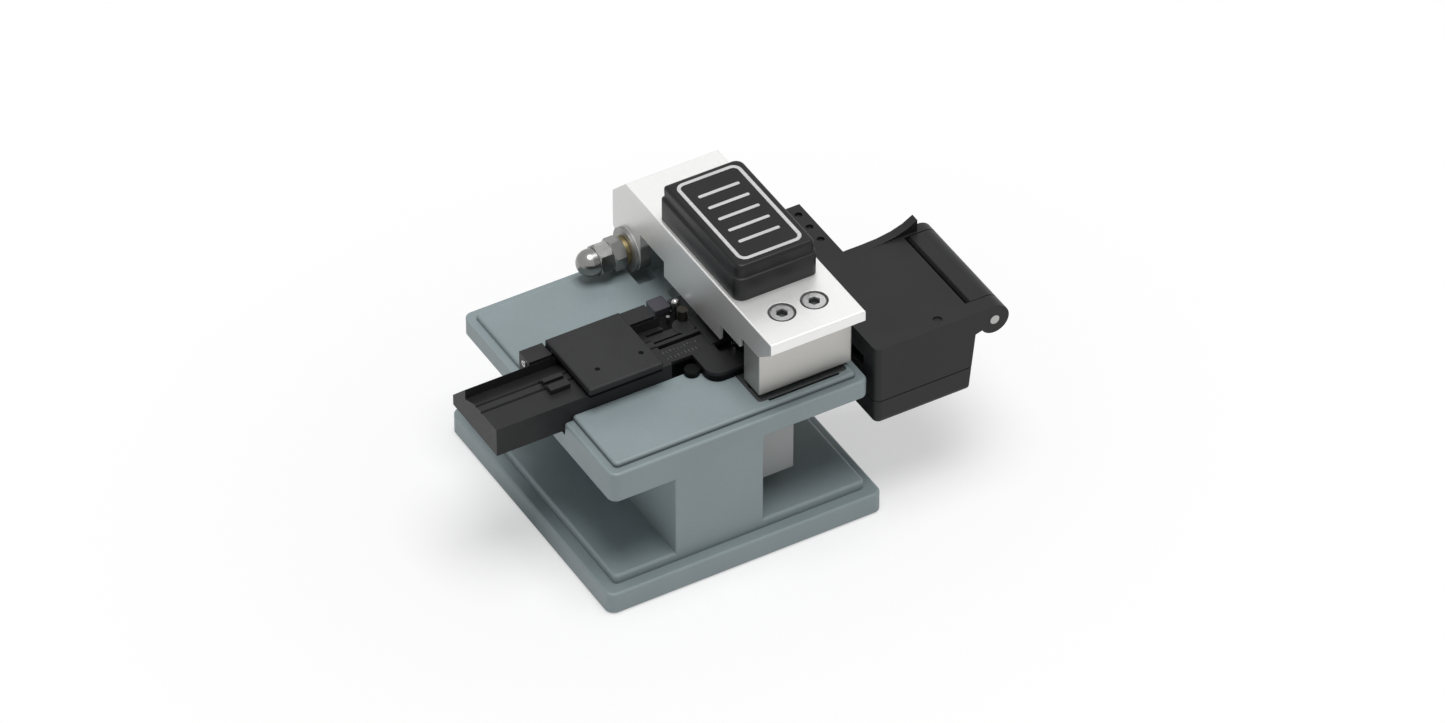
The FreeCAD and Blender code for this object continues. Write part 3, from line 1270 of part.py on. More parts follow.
def make_scrap_cover():
    """Fixed cover: top, front, back and left walls, hinge cheeks, a raised fin and a screw-down wing."""
    front, back = s.cover_front, s.cover_back
    wall = s.cover_wall
    front_wall = profile("cover_front_wall", "y", cover_outline(), front, front + wall)
    back_wall = profile("cover_back_wall", "y", cover_outline(), back - wall, back)
    top = block("cover_top_wall", (s.cover_left, s.cover_edge), (front, back), (s.cover_top - wall, s.cover_top))
    left_wall = block("cover_left_wall", (s.cover_left, s.cover_left + wall), (front, back),
                      (s.cover_bottom, s.cover_top))
    cheeks = []
    for index, start in enumerate((front, back - 2.7)):
        length = s.cheek_width if index == 0 else Dim("2.7", 2.7)
        cheeks.append(rod("cover_cheek%d" % index, "y", (s.scrap_axis_x, start, s.scrap_axis_height),
                          s.scrap_knuckle, length))
        cheeks.append(block("cover_cheek_web%d" % index, (s.cover_edge - 1, s.scrap_axis_x),
                            (start, start + length), (s.scrap_axis_height - 0.5, s.cover_top)))
    wing = block("cover_wing", (s.cover_left, s.wing_right), (back - 1, s.wing_back),
                 (s.cover_top - s.wing_thick, s.cover_top))
    rise = s.fin_rise
    fin = profile("cover_fin", "y", [
        (s.cover_left + 16.0, s.cover_top - 1.0),
        (s.cover_left + 16.0, s.cover_top),
        (s.cover_left + 20.0, s.cover_top + rise * 0.05),
        (s.cover_left + 23.5, s.cover_top + rise * 0.22),
        (s.cover_left + 26.5, s.cover_top + rise * 0.52),
        (s.cover_left + 29.2, s.cover_top + rise),
        (s.cover_left + 29.2, s.cover_top - 1.0),
    ], back - s.fin_thick, back)
    solid = fuse("cover_solid", [front_wall, back_wall, top, left_wall, wing, fin] + cheeks)
    tools = [
        block("cover_window", (s.cover_left - 1, s.cover_left + wall + 1), (s.window_front, s.window_back),
              (s.window_bottom, s.window_top)),
        rod("cover_pin_bore", "y", (s.scrap_axis_x, front - 1, s.scrap_axis_height), s.scrap_pin_radius,
            back - front + 2),
        rod("cover_dimple", "z", (s.cover_left + 17.3, front + 2.6, s.cover_top - 0.4), 1.1, 2.0),
    ]
    for index, along in enumerate(wing_hole_places()):
        tools.append(rod("wing_hole%d" % index, "z", (s.wing_right - 2.1, along, s.cover_top - 6), 0.9, 8.0))
    solid = cut("cover_cut", solid, tools)
    solid = rounded("cover_body", solid, 1.6,
                    lambda m, run: upright(m, run) and near(m.x, s.cover_left) and near(m.y, front))
    return deliver(solid, "scrap_cover")


def wing_hole_places():
    return [s.wing_back - 3.2, s.wing_back - 8.1, s.wing_back - 13.0]


def make_wing_bracket():
    """Bracket under the wing that stands on the deck's right side."""
    below = s.cover_top - s.wing_thick
    plate = block("wing_bracket_plate", (s.deck_right, s.deck_right + 3.4), (s.cover_back + 1.5, s.wing_back - 0.6),
                  (s.right_under + 0.2, below))
    shelf = block("wing_bracket_shelf", (s.deck_right, s.wing_right - 0.6),
                  (s.cover_back + 1.5, s.wing_back - 0.6), (below - 2.4, below))
    holes = []
    for index, along in enumerate(wing_hole_places()):
        holes.append(rod("shelf_hole%d" % index, "z", (s.wing_right - 2.1, along, below - 3), 0.9, 4.0))
    deliver(cut("wing_bracket_body", fuse("wing_bracket_blank", [plate, shelf]), holes), "cover_bracket")
    screws = []
    for index, along in enumerate(wing_hole_places()):
        screws.append(rod("wing_screw%d" % index, "z", (s.wing_right - 2.1, along, below - 2.2), 0.9, 4.4))
    deliver(group("wing_screw_group", screws), "cover_screws")


def make_scrap_box():
    """Box that holds the fibre scraps: a flush foot, walls that slide up inside the cover, and a knuckle."""
    front, back = s.cover_front, s.cover_back
    inner = s.cover_wall + s.box_gap
    joint_height = s.cover_bottom - s.box_gap
    foot = profile("box_foot", "y", [
        (s.cover_left, s.box_bottom),
        (s.cover_left, joint_height),
        (box_edge(joint_height), joint_height),
        (s.box_foot_right, s.box_bottom),
    ], front, back)
    foot = rounded("box_foot_round", foot, 1.8,
                   lambda m, run: near(m.z, s.box_bottom) or (abs(run.z) > 3 and m.x < number(s.cover_left) + 1))
    walls = profile("box_walls", "y", [
        (s.cover_left + inner, s.box_bottom + 2.5),
        (s.cover_left + inner, s.box_lip),
        (box_edge(s.box_lip), s.box_lip),
        (box_edge(s.box_bottom + 2.5), s.box_bottom + 2.5),
    ], front + inner, back - inner)
    cavity = profile("box_cavity", "y", [
        (s.cover_left + inner + s.box_wall, s.box_bottom + s.box_wall),
        (s.cover_left + inner + s.box_wall, s.box_lip + 1),
        (box_edge(s.box_lip + 1) - s.box_wall, s.box_lip + 1),
        (box_edge(s.box_bottom + s.box_wall) - s.box_wall, s.box_bottom + s.box_wall),
    ], front + inner + s.box_wall, back - inner - s.box_wall)
    middle = (front + s.cheek_width + s.box_gap, back - 2.7 - s.box_gap)
    roller = rod("box_roller", "y", (s.scrap_axis_x, middle[0], s.scrap_axis_height), s.scrap_knuckle,
                 middle[1] - middle[0])
    lid_edge = s.cover_edge + 0.9
    flat = profile("box_roller_flat", "y", [
        (s.scrap_axis_x, s.scrap_axis_height - s.scrap_knuckle),
        (box_edge(s.box_lip) - s.box_wall, s.box_lip - 1.5),
        (box_edge(s.box_lip) - s.box_wall, s.box_lip + 0.5),
        (lid_edge, s.scrap_axis_height - 1.0),
        (lid_edge, s.cover_top - 0.9),
        (lid_edge + 0.6, s.cover_top - 0.05),
        (s.scrap_axis_x, s.cover_top - 0.05),
    ], middle[0], middle[1])
    body = cut("box_shell", fuse("box_solid", [foot, walls]), [cavity])
    body = fuse("box_rolled", [body, roller, flat])
    bore = rod("box_pin_bore", "y", (s.scrap_axis_x, front - 1, s.scrap_axis_height),
               s.scrap_pin_radius + s.shaft_gap, back - front + 2)
    return deliver(cut("box_body", body, [bore]), "scrap_box")


def make_scrap_pin():
    pin = rod("scrap_pin_rod", "y", (s.scrap_axis_x, s.cover_front - 0.1, s.scrap_axis_height),
              s.scrap_pin_radius, s.cover_back - s.cover_front + 0.1)
    return deliver(pin, "scrap_hinge_pin")


def make_detent_post():
    """Low stop block behind the left bracket, beside the slot."""
    post = block("detent_post_block", (s.slot_left - 4.5, s.slot_left - 0.4),
                 (s.bracket_back + 0.8, s.bracket_back + 5.1), (s.floor_top, s.plate_top + 0.2))
    return deliver(rounded("detent_post_body", post, 0.4, upright), "detent_post")


make_frame()
make_base_pad()
make_arm()
make_foot_block()
make_hold_down_magnet()
make_arm_screws()
make_cap()
make_cap_screws()
make_cap_trim()
make_hinge_shaft()
make_hinge_nuts()
make_holder()
make_holder_screws()
make_holder_clip()
make_lid()
make_lid_hardware()
make_clamp_brackets()
make_bracket_pins()
make_upper_clamp()
make_carriage()
make_tongue()
make_blade()
make_scrap_cover()
make_wing_bracket()
make_scrap_box()
make_scrap_pin()
make_detent_post()

doc.recompute()
for item in doc.Objects:
    bad = [state for state in item.State if state in ("Invalid", "Error")]
    if bad:
        raise RuntimeError("%s is %s" % (item.Name, ", ".join(bad)))
for item in delivered:
    if item.Shape.isNull() or not item.Shape.isValid():
        raise RuntimeError("%s has no valid shape" % item.Label)

os.makedirs("parts", exist_ok=True)
for item in delivered:
    item.Shape.exportStep("parts/%s.step" % item.Label)
    print(item.Label, len(item.Shape.Solids), "solids", round(item.Shape.Volume, 2))
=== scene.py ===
import math

import bmesh
import bpy
from bpy.props import FloatProperty, FloatVectorProperty, IntProperty, PointerProperty
from mathutils import Matrix, Vector


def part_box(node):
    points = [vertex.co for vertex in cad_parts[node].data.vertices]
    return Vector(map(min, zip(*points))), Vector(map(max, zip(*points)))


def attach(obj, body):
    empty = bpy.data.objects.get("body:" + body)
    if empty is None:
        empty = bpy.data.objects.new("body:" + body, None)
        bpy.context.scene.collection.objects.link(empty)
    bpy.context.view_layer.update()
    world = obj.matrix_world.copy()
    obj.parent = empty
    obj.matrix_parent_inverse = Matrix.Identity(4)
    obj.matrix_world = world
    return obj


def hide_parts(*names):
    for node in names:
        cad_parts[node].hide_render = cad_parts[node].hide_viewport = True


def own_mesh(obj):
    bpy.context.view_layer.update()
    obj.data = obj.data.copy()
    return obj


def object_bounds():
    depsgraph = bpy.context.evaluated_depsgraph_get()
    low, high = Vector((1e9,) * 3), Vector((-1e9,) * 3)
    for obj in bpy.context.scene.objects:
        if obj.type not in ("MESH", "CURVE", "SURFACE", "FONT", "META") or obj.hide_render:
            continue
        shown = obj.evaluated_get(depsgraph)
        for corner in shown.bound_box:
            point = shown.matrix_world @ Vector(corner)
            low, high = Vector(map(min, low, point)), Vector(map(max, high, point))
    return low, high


bl_info = {
    "name": "Fibre Cleaver Looks",
    "version": (1, 0, 0),
    "blender": (4, 5, 0),
    "location": "View3D > Sidebar > Cleaver",
    "description": "Finishes, small parts and a photo stage for a bench fibre cleaver",
    "category": "Object",
}

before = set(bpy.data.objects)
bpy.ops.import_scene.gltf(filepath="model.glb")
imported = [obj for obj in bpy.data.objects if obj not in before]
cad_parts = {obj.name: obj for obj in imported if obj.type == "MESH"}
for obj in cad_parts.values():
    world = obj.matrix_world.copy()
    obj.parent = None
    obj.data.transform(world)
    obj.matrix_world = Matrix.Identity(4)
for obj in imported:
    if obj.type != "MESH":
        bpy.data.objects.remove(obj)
CAD_LOW, CAD_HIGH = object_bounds()
MM = 0.001
CORNER_STEPS = 8
TURN_STEPS = 16


class Wire:
    """A value that runs between shader nodes, so that shader maths reads as arithmetic."""

    def __init__(self, tree, socket):
        self.tree = tree
        self.socket = socket

    def _join(self, operation, *terms):
        node = self.tree.nodes.new("ShaderNodeMath")
        node.operation = operation
        for place, term in enumerate(terms):
            if isinstance(term, Wire):
                self.tree.links.new(term.socket, node.inputs[place])
            else:
                node.inputs[place].default_value = term
        return Wire(self.tree, node.outputs[0])

    def __add__(self, other):
        return self._join("ADD", self, other)

    def __radd__(self, other):
        return self._join("ADD", other, self)

    def __sub__(self, other):
        return self._join("SUBTRACT", self, other)

    def __rsub__(self, other):
        return self._join("SUBTRACT", other, self)

    def __mul__(self, other):
        return self._join("MULTIPLY", self, other)

    def __rmul__(self, other):
        return self._join("MULTIPLY", other, self)

    def smallest(self, other):
        return self._join("MINIMUM", self, other)


class Finish:
    """A new material with one Principled shader, and one method that adds any other node."""

    def __init__(self, name, **shader):
        self.material = bpy.data.materials.new(name)
        self.material.use_nodes = True
        self.tree = self.material.node_tree
        self.shader = self.tree.nodes["Principled BSDF"]
        for socket, value in shader.items():
            self.shader.inputs[socket.replace("_", " ")].default_value = value
        self.place = self.add("ShaderNodeTexCoord", output="Object")

    def add(self, kind, settings=None, output=0, **inputs):
        """Add a node. An input is given by name, or as n and its number where names repeat."""
        node = self.tree.nodes.new(kind)
        for key, value in (settings or {}).items():
            setattr(node, key, value)
        for key, value in inputs.items():
            by_number = key[0] == "n" and key[1:].isdigit()
            socket = node.inputs[int(key[1:]) if by_number else key.replace("_", " ")]
            if isinstance(value, Wire):
                self.tree.links.new(value.socket, socket)
            else:
                socket.default_value = value
        return Wire(self.tree, node.outputs[output])

    def stretched(self, x=1.0, y=1.0, z=1.0):
        """The surface's place with each axis scaled, which draws a noise out into lines."""
        return self.add("ShaderNodeVectorMath", {"operation": "MULTIPLY"}, n0=self.place, n1=(x, y, z))

    def axis(self, number):
        """The surface's place along one axis."""
        return self.add("ShaderNodeSeparateXYZ", output=number, Vector=self.place)

    def away(self, middle, x=1.0, y=1.0, z=1.0):
        """Distance from a middle to the surface's place with each axis scaled."""
        return self.add("ShaderNodeVectorMath", {"operation": "DISTANCE"}, output=1,
                        n0=self.stretched(x, y, z), n1=middle)

    def noise(self, scale, detail=2.0, rough=0.5, vector=None):
        return self.add("ShaderNodeTexNoise", Vector=vector or self.place, Scale=scale, Detail=detail,
                        Roughness=rough)

    def spread(self, value, low, high, to_low=0.0, to_high=1.0):
        """Map a value between low and high onto a new range, held at both ends."""
        return self.add("ShaderNodeMapRange", {"clamp": True}, Value=value,
                        n1=low, n2=high, n3=to_low, n4=to_high)

    def blend(self, factor, first, second):
        """A colour between two colours."""
        return self.add("ShaderNodeMix", {"data_type": "RGBA"}, output=2, n0=factor, n6=first, n7=second)

    def mottled(self, factor, color, darkest, lightest):
        """A colour that varies a little between a darker and a lighter tone."""
        return self.blend(factor, shade(color, darkest), shade(color, lightest))

    def feed(self, socket, wire):
        self.tree.links.new(wire.socket, self.shader.inputs[socket])

    def run_out(self, factor):
        """Turn into plain white, at the level of the background, where the factor is one."""
        white = self.add("ShaderNodeEmission", Strength=1.0)
        mix = self.add("ShaderNodeMixShader", Fac=factor)
        self.tree.links.new(self.shader.outputs[0], mix.socket.node.inputs[1])
        self.tree.links.new(white.socket, mix.socket.node.inputs[2])
        out = [node for node in self.tree.nodes if node.type == "OUTPUT_MATERIAL"][0]
        self.tree.links.new(mix.socket, out.inputs["Surface"])

    def bump(self, height, strength, distance, edge=0.00012):
        """Fine relief over a normal that rounds sharp edges a little."""
        soft = self.add("ShaderNodeBevel", {"samples": 6}, Radius=edge)
        relief = self.add("ShaderNodeBump", Height=height, Strength=strength, Distance=distance,
                          Normal=soft)
        self.feed("Normal", relief)


def shade(color, factor):
    return (color[0] * factor, color[1] * factor, color[2] * factor, 1.0)


def dress(material, *nodes):
    """Give CAD nodes a finish."""
    for name in nodes:
        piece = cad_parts[name]
        if not piece.material_slots:
            piece.data.materials.append(material)
        for slot in piece.material_slots:
            slot.link = "OBJECT"
            slot.material = material


def middle_of(name):
    """Middle of a CAD node's box."""
    low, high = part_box(name)
    return (Vector(low) + Vector(high)) / 2


def place_piece(name, mesh, material, body):
    """Link a new mesh as a piece that rides on a body."""
    piece = bpy.data.objects.new(name, mesh)
    bpy.context.scene.collection.objects.link(piece)
    piece.data.materials.append(material)
    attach(piece, body)
    return piece


def rounded_loop(shape, low, high, radii, inset, height):
    """Points round a rounded rectangle, anticlockwise from the front left, pulled in by an inset."""
    points = []
    corners = ((low[0], low[1], 1, 1), (high[0], low[1], -1, 1),
               (high[0], high[1], -1, -1), (low[0], high[1], 1, -1))
    for turn, ((x, y, inward_x, inward_y), radius) in enumerate(zip(corners, radii)):
        bend = max(radius - inset, 0.1 * MM)
        for step in range(CORNER_STEPS + 1):
            angle = math.pi * (1.0 + turn / 2 + step / (2 * CORNER_STEPS))
            place = (x + inward_x * radius + bend * math.cos(angle),
                     y + inward_y * radius + bend * math.sin(angle), height)
            points.append(shape.verts.new(place))
    return points


def skin(shape, loops, closed=True):
    """Faces between loops of equal length, with a lid on the first and last loop when closed."""
    count = len(loops[0])
    for below, above in zip(loops, loops[1:]):
        for index in range(count):
            after = (index + 1) % count
            shape.faces.new((below[index], below[after], above[after], above[index]))
    if closed:
        shape.faces.new(list(reversed(loops[0])))
        shape.faces.new(loops[-1])


def smooth_mesh(name, shape, angle=0.6):
    """A mesh that is smooth except at edges sharper than an angle."""
    bmesh.ops.recalc_face_normals(shape, faces=shape.faces)
    mesh = bpy.data.meshes.new(name)
    shape.to_mesh(mesh)
    shape.free()
    for face in mesh.polygons:
        face.use_smooth = True
    mesh.set_sharp_from_angle(angle=angle)
    return mesh


COLOR = {"subtype": "COLOR", "size": 3, "min": 0.0, "max": 1.0}


class StageSettings(bpy.types.PropertyGroup):
    focal_length: FloatProperty(name="Focal length", description="Lens of the photo camera",
                                default=214.70, min=10.0, unit="CAMERA")
    distance: FloatProperty(name="Distance", description="From the camera to the cleaver's middle",
                            default=1.92055, min=0.1, unit="LENGTH")
    azimuth: FloatProperty(name="Azimuth", description="Turn of the camera about the upright axis",
                           default=math.radians(-30.116), subtype="ANGLE")
    elevation: FloatProperty(name="Elevation", description="Height of the camera above the level",
                             default=math.radians(40.701), subtype="ANGLE")
    target_height: FloatProperty(name="Target height", description="Height of the point looked at",
                                 default=0.020, unit="LENGTH")
    offset_right: FloatProperty(name="Offset right", description="Camera moved to its right",
                                default=0.012733, unit="LENGTH")
    offset_up: FloatProperty(name="Offset up", description="Camera moved up in the picture",
                             default=0.009025, unit="LENGTH")
    floor_color: FloatVectorProperty(name="Floor", description="Colour of the floor and background",
                                     default=(0.96, 0.96, 0.96), **COLOR)
    shadow_reach: FloatProperty(name="Shadow reach", description="Where the floor starts to run out to white",
                                default=0.055, min=0.0, unit="LENGTH")
    white_reach: FloatProperty(name="White reach", description="Where the floor is plain white",
                               default=0.115, min=0.0, unit="LENGTH")
    key_place: FloatVectorProperty(name="Key light place", description="Middle of the large light",
                                   default=(0.05, -0.16, 1.93), subtype="XYZ", unit="LENGTH", size=3)
    key_size: FloatProperty(name="Key light size", description="Diameter of the large light",
                            default=1.3, min=0.1, unit="LENGTH")
    key_power: FloatProperty(name="Key light", description="Power of the large light almost overhead",
                             default=29.0, min=0.0, unit="POWER")
    sky_level: FloatProperty(name="Sky level", description="Level of the soft light from all round",
                             default=0.30, min=0.0, max=1.0)


class PaintSettings(bpy.types.PropertyGroup):
    frame_color: FloatVectorProperty(name="Frame paint", description="Powder coat of the cast frame",
                                     default=(0.238, 0.289, 0.303), **COLOR)
    grain_size: FloatProperty(name="Coat grain", description="Size of the powder coat's fine texture",
                              default=0.0007, min=0.0001, unit="LENGTH")
    deck_step: FloatProperty(name="Deck step", description="Height of the foot of the raised deck's step",
                             default=0.0374, unit="LENGTH")
    deck_step_back: FloatProperty(name="Deck step's back", description="How far back the raised deck reaches",
                                  default=-0.0125, unit="LENGTH")
    base_step: FloatProperty(name="Base step", description="Height of the foot of the base's step",
                             default=0.0057, unit="LENGTH")
    # The darker paint at a step's foot is painted shade, fading out over this height
    painted_shade_rise: FloatProperty(name="Step rise", description="Height over which the darker paint fades out",
                             default=0.0013, min=0.0001, unit="LENGTH")
    rubber_color: FloatVectorProperty(name="Rubber", description="Base sheet and clamp pads",
                                      default=(0.022, 0.022, 0.023), **COLOR)


class MetalSettings(bpy.types.PropertyGroup):
    arm_color: FloatVectorProperty(name="Arm aluminium", description="Light satin aluminium of the clamp arm",
                                   default=(0.93, 0.93, 0.92), **COLOR)
    # Lug radius and boss height place the painted shade on the hinge lug
    lug_radius: FloatProperty(name="Lug radius", description="From the hinge's middle to the lug's front",
                              default=0.0054, min=0.001, unit="LENGTH")
    boss_height: FloatProperty(name="Boss height", description="How far the lug's boss stands out",
                               default=0.001, min=0.0, unit="LENGTH")
    block_color: FloatVectorProperty(name="Foot block steel", description="Warm grey steel below the arm",
                                     default=(0.55, 0.54, 0.515), **COLOR)
    nut_color: FloatVectorProperty(name="Plated nuts", description="Nickel plate of the nuts and shaft",
                                   default=(0.31, 0.31, 0.30), **COLOR)
    brass_color: FloatVectorProperty(name="Brass", description="Pale brass of the hinge washer",
                                     default=(0.40, 0.33, 0.17), **COLOR)
    anodised_color: FloatVectorProperty(name="Black anodised", description="Holder, lid and clamp brackets",
                                        default=(0.014, 0.0142, 0.015), **COLOR)


class PlasticSettings(bpy.types.PropertyGroup):
    box_color: FloatVectorProperty(name="Scrap box plastic", description="Moulded cover and box",
                                   default=(0.0115, 0.0116, 0.012), **COLOR)
    cap_color: FloatVectorProperty(name="Arm cover plastic", description="Moulded cover on the arm",
                                   default=(0.008, 0.008, 0.0083), **COLOR)
    trim_color: FloatVectorProperty(name="Silver trim", description="Border and bars on the arm cover",
                                    default=(0.72, 0.72, 0.73), **COLOR)


class CoverSettings(bpy.types.PropertyGroup):
    front_reach: FloatProperty(name="Front reach", description="How far it runs forward of the CAD cover",
                               default=0.0018, min=0.0, max=0.003, unit="LENGTH")
    ledge: FloatProperty(name="Ledge", description="Width of the ledge between skirt and crown",
                         default=0.00045, min=0.0001, max=0.002, unit="LENGTH")
    crown_height: FloatProperty(name="Crown", description="Height of the crown above the ledge",
                                default=0.0035, min=0.001, max=0.006, unit="LENGTH")
    corner: FloatProperty(name="Corner", description="Radius of the cover's upright corners",
                          default=0.0024, min=0.001, max=0.005, unit="LENGTH")
    trim_margin: FloatProperty(name="Trim margin", description="From the cover's edge to the silver border",
                               default=0.0022, min=0.001, max=0.006, unit="LENGTH")
    trim_line: FloatProperty(name="Trim line", description="Width of the border and the bars",
                             default=0.0009, min=0.0003, max=0.003, unit="LENGTH")
    trim_corner: FloatProperty(name="Trim corner", description="Radius of the border's corners",
                               default=0.0022, min=0.001, max=0.005, unit="LENGTH")
    bar_pitch: FloatProperty(name="Bar pitch", description="From the middle of one bar to the next",
                             default=0.0044, min=0.002, max=0.006, unit="LENGTH")


class SpringSettings(bpy.types.PropertyGroup):
    wire_radius: FloatProperty(name="Wire", description="Radius of the clamp spring's wire",
                               default=0.00016, min=0.00005, unit="LENGTH")
    turns: IntProperty(name="Turns", description="Turns in each clamp spring", default=5, min=2)
    float_travel: FloatProperty(name="Travel", description="How far the clamp head shortens the springs",
                                default=0.0008, min=0.0, max=0.002, unit="LENGTH")


class DetentSettings(bpy.types.PropertyGroup):
    ring_radius: FloatProperty(name="Ring radius", description="Middle radius of the rubber ring",
                               default=0.001, min=0.0005, unit="LENGTH")
    ring_wire: FloatProperty(name="Ring thickness", description="Radius of the ring's section",
                             default=0.00024, min=0.0001, unit="LENGTH")
    ring_drop: FloatProperty(name="Ring drop", description="From the top of the ball to the ring",
                             default=0.00115, min=0.0, unit="LENGTH")


class GuardSettings(bpy.types.PropertyGroup):
    sheet: FloatProperty(name="Sheet", description="Thickness of the guard",
                         default=0.00015, min=0.0001, unit="LENGTH")
    edge_gap: FloatProperty(name="Edge gap", description="From the carriage plate to the guard's side",
                            default=0.00038, min=0.0001, unit="LENGTH")
    top_gap: FloatProperty(name="Top gap", description="From the carriage plate's top to the guard",
                           default=0.0002, min=0.0001, unit="LENGTH")
    width: FloatProperty(name="Width", description="How far it reaches over the slot",
                         default=0.00378, min=0.001, unit="LENGTH")
    drop: FloatProperty(name="Drop", description="Height of the part that is bent down",
                        default=0.0019, min=0.0005, unit="LENGTH")
    bend: FloatProperty(name="Bend", description="Outer radius of the bend",
                        default=0.0003, min=0.0002, unit="LENGTH")
    front: FloatProperty(name="Front", description="Place of the guard's front end",
                         default=-0.003, unit="LENGTH")
    back_reach: FloatProperty(name="Back reach", description="How far it runs past the bracket's back",
                              default=0.0028, min=0.0, unit="LENGTH")


class ShutterSettings(bpy.types.PropertyGroup):
    bottom: FloatProperty(name="Bottom", description="Height of the plate's lower edge",
                          default=0.0393, unit="LENGTH")
    top: FloatProperty(name="Top", description="Height of the plate's upper edge",
                       default=0.04235, unit="LENGTH")
    start: FloatProperty(name="Start", description="From the cover's front to the plate",
                         default=0.00545, min=0.0, unit="LENGTH")
    end: FloatProperty(name="End", description="From the cover's front to the plate's back",
                       default=0.018, min=0.0, unit="LENGTH")
    thickness: FloatProperty(name="Thickness", description="Thickness of the plate",
                             default=0.0015, min=0.0005, unit="LENGTH")


class CleaverSettings(bpy.types.PropertyGroup):
    stage: PointerProperty(type=StageSettings)
    paint: PointerProperty(type=PaintSettings)
    metal: PointerProperty(type=MetalSettings)
    plastic: PointerProperty(type=PlasticSettings)
    cover: PointerProperty(type=CoverSettings)
    spring: PointerProperty(type=SpringSettings)
    detent: PointerProperty(type=DetentSettings)
    guard: PointerProperty(type=GuardSettings)
    shutter: PointerProperty(type=ShutterSettings)


def settings(context):
    return context.scene.cleaver


def powder_coat(name, color, grain, steps):
    """Satin powder coat: soft mottling, a fine orange-peel grain and slightly varied gloss.

    Painted shade darkens the coat at the foot of each step, given as (foot height, rise, back limit, tone).
    """
    finish = Finish(name, Specular_IOR_Level=0.45, Coat_Weight=0.18, Coat_Roughness=0.22)
    cloud = finish.noise(60.0, 3.0)
    speck = finish.noise(1.0 / grain, 3.0, 0.6)
    tone = finish.spread(cloud * 0.6 + speck * 0.4, 0.35, 0.65)
    base = finish.mottled(tone, color, 0.95, 1.05)
    along, height = finish.axis(1), finish.axis(2)
    # painted shade: darker paint along the foot of each step, where its crease lies in shade
    for foot, rise, limit, shade_tone in steps:
        dark = (finish.spread(height, foot - 0.01 * MM, foot + 0.03 * MM)
                * finish.spread(height, foot + 0.3 * rise, foot + 0.8 * rise, 1.0, 0.0)
                * finish.spread(along, limit - 0.1 * MM, limit, 1.0, 0.0))
        base = finish.blend(dark, base, shade(color, shade_tone))
    finish.feed("Base Color", base)
    finish.feed("Roughness", finish.spread(speck, 0.3, 0.7, 0.40, 0.52))
    finish.bump(speck * 0.7 + finish.noise(0.35 / grain, 2.0) * 0.3, 0.16, 0.00006)
    return finish.material


def satin_aluminium(name, color, metallic=0.70, side=0.80, lug=None):
    """Blasted aluminium with faint drawn lines, and painted shade on its sides and round its lug."""
    finish = Finish(name, Metallic=metallic, Specular_IOR_Level=0.4)
    lines = finish.noise(900.0, 2.0, 0.5, finish.stretched(1.0, 0.04, 1.0))
    blast = finish.noise(2600.0, 2.0)
    tone = finish.spread(lines * 0.3 + blast * 0.7, 0.38, 0.62)
    # painted shade: faces that turn to either side are darkened
    facing = finish.add("ShaderNodeTexCoord", output="Normal")
    across_only = finish.add("ShaderNodeVectorMath", {"operation": "MULTIPLY"}, n0=facing,
                             n1=(1.0, 0.0, 0.0))
    sideways = finish.add("ShaderNodeVectorMath", {"operation": "LENGTH"}, output=1, n0=across_only)
    side_shade = finish.spread(sideways, 0.6, 0.9)
    bright = finish.mottled(tone, color, 0.975, 1.0)
    shaded_side = finish.mottled(tone, color, side * 0.96, side)
    base = finish.blend(side_shade, bright, shaded_side)
    if lug:
        across, along, height = finish.axis(0), finish.axis(1), finish.axis(2)
        # painted shade on the hinge lug's boss, and on its front below the lug height
        rim_shade = finish.spread(across, lug.x - 0.10 * MM, lug.x - 0.04 * MM, 1.0, 0.0)
        front = (finish.spread(along, lug.y - 0.3 * MM, lug.y - 0.1 * MM)
                 * finish.spread(height, lug.z, lug.z + 1.0 * MM, 1.0, 0.0)
                 * finish.spread(across, lug.x, lug.x + 0.1 * MM))
        base = finish.blend(rim_shade, base, shade(color, 0.34))
        base = finish.blend(front, base, shade(color, 0.24))
    finish.feed("Base Color", base)
    finish.feed("Roughness", finish.spread(blast, 0.35, 0.65, 0.38, 0.44))
    finish.bump(blast, 0.10, 0.00003)
    return finish.material


def ground_steel(name, color, along=(0.05, 1.0, 1.0), rough=0.34, metallic=0.75):
    """Ground steel whose fine lines run along the axis that is drawn out."""
    finish = Finish(name, Metallic=metallic)
    lines = finish.noise(1500.0, 3.0, 0.6, finish.stretched(*along))
    cloud = finish.noise(150.0, 2.0)
    tone = finish.spread(lines * 0.7 + cloud * 0.3, 0.36, 0.64)
    finish.feed("Base Color", finish.mottled(tone, color, 0.90, 1.04))
    finish.feed("Roughness", finish.spread(lines, 0.3, 0.7, rough, rough + 0.12))
    finish.bump(lines, 0.12, 0.00003)
    return finish.material


def plated(name, color, rough=0.22):
    """Nickel plate: smooth and bright, with faint handling marks."""
    finish = Finish(name, Metallic=1.0)
    marks = finish.noise(420.0, 4.0, 0.65)
    cloud = finish.noise(90.0, 2.0)
    finish.feed("Base Color", finish.mottled(finish.spread(cloud, 0.35, 0.65), color, 0.95, 1.05))
    finish.feed("Roughness", finish.spread(marks, 0.35, 0.7, rough, rough + 0.06))
    return finish.material


def anodised(name, color):
    """Anodised aluminium with a soft sheen over a fine blasted grain, and its mottled colour."""
    finish = Finish(name, Specular_IOR_Level=0.30)
    grain = finish.noise(2400.0, 3.0, 0.6)
    finish.feed("Roughness", finish.spread(grain, 0.3, 0.7, 0.40, 0.54))
    finish.bump(grain, 0.18, 0.00004)
    cloud = finish.noise(80.0, 2.0)
    return finish, finish.mottled(finish.spread(cloud, 0.35, 0.65), color, 0.85, 1.18)


def black_anodise(name, color, shadow=None):
    """Black anodising, darkened below a given height as painted shadow."""
    finish, base = anodised(name, color)
    if shadow:
        low = finish.spread(finish.axis(2), shadow, shadow + 0.15 * MM, 1.0, 0.0)
        base = finish.blend(low, base, shade(color, 0.2))
        finish.feed("Metallic", low)
    finish.feed("Base Color", base)
    return finish.material


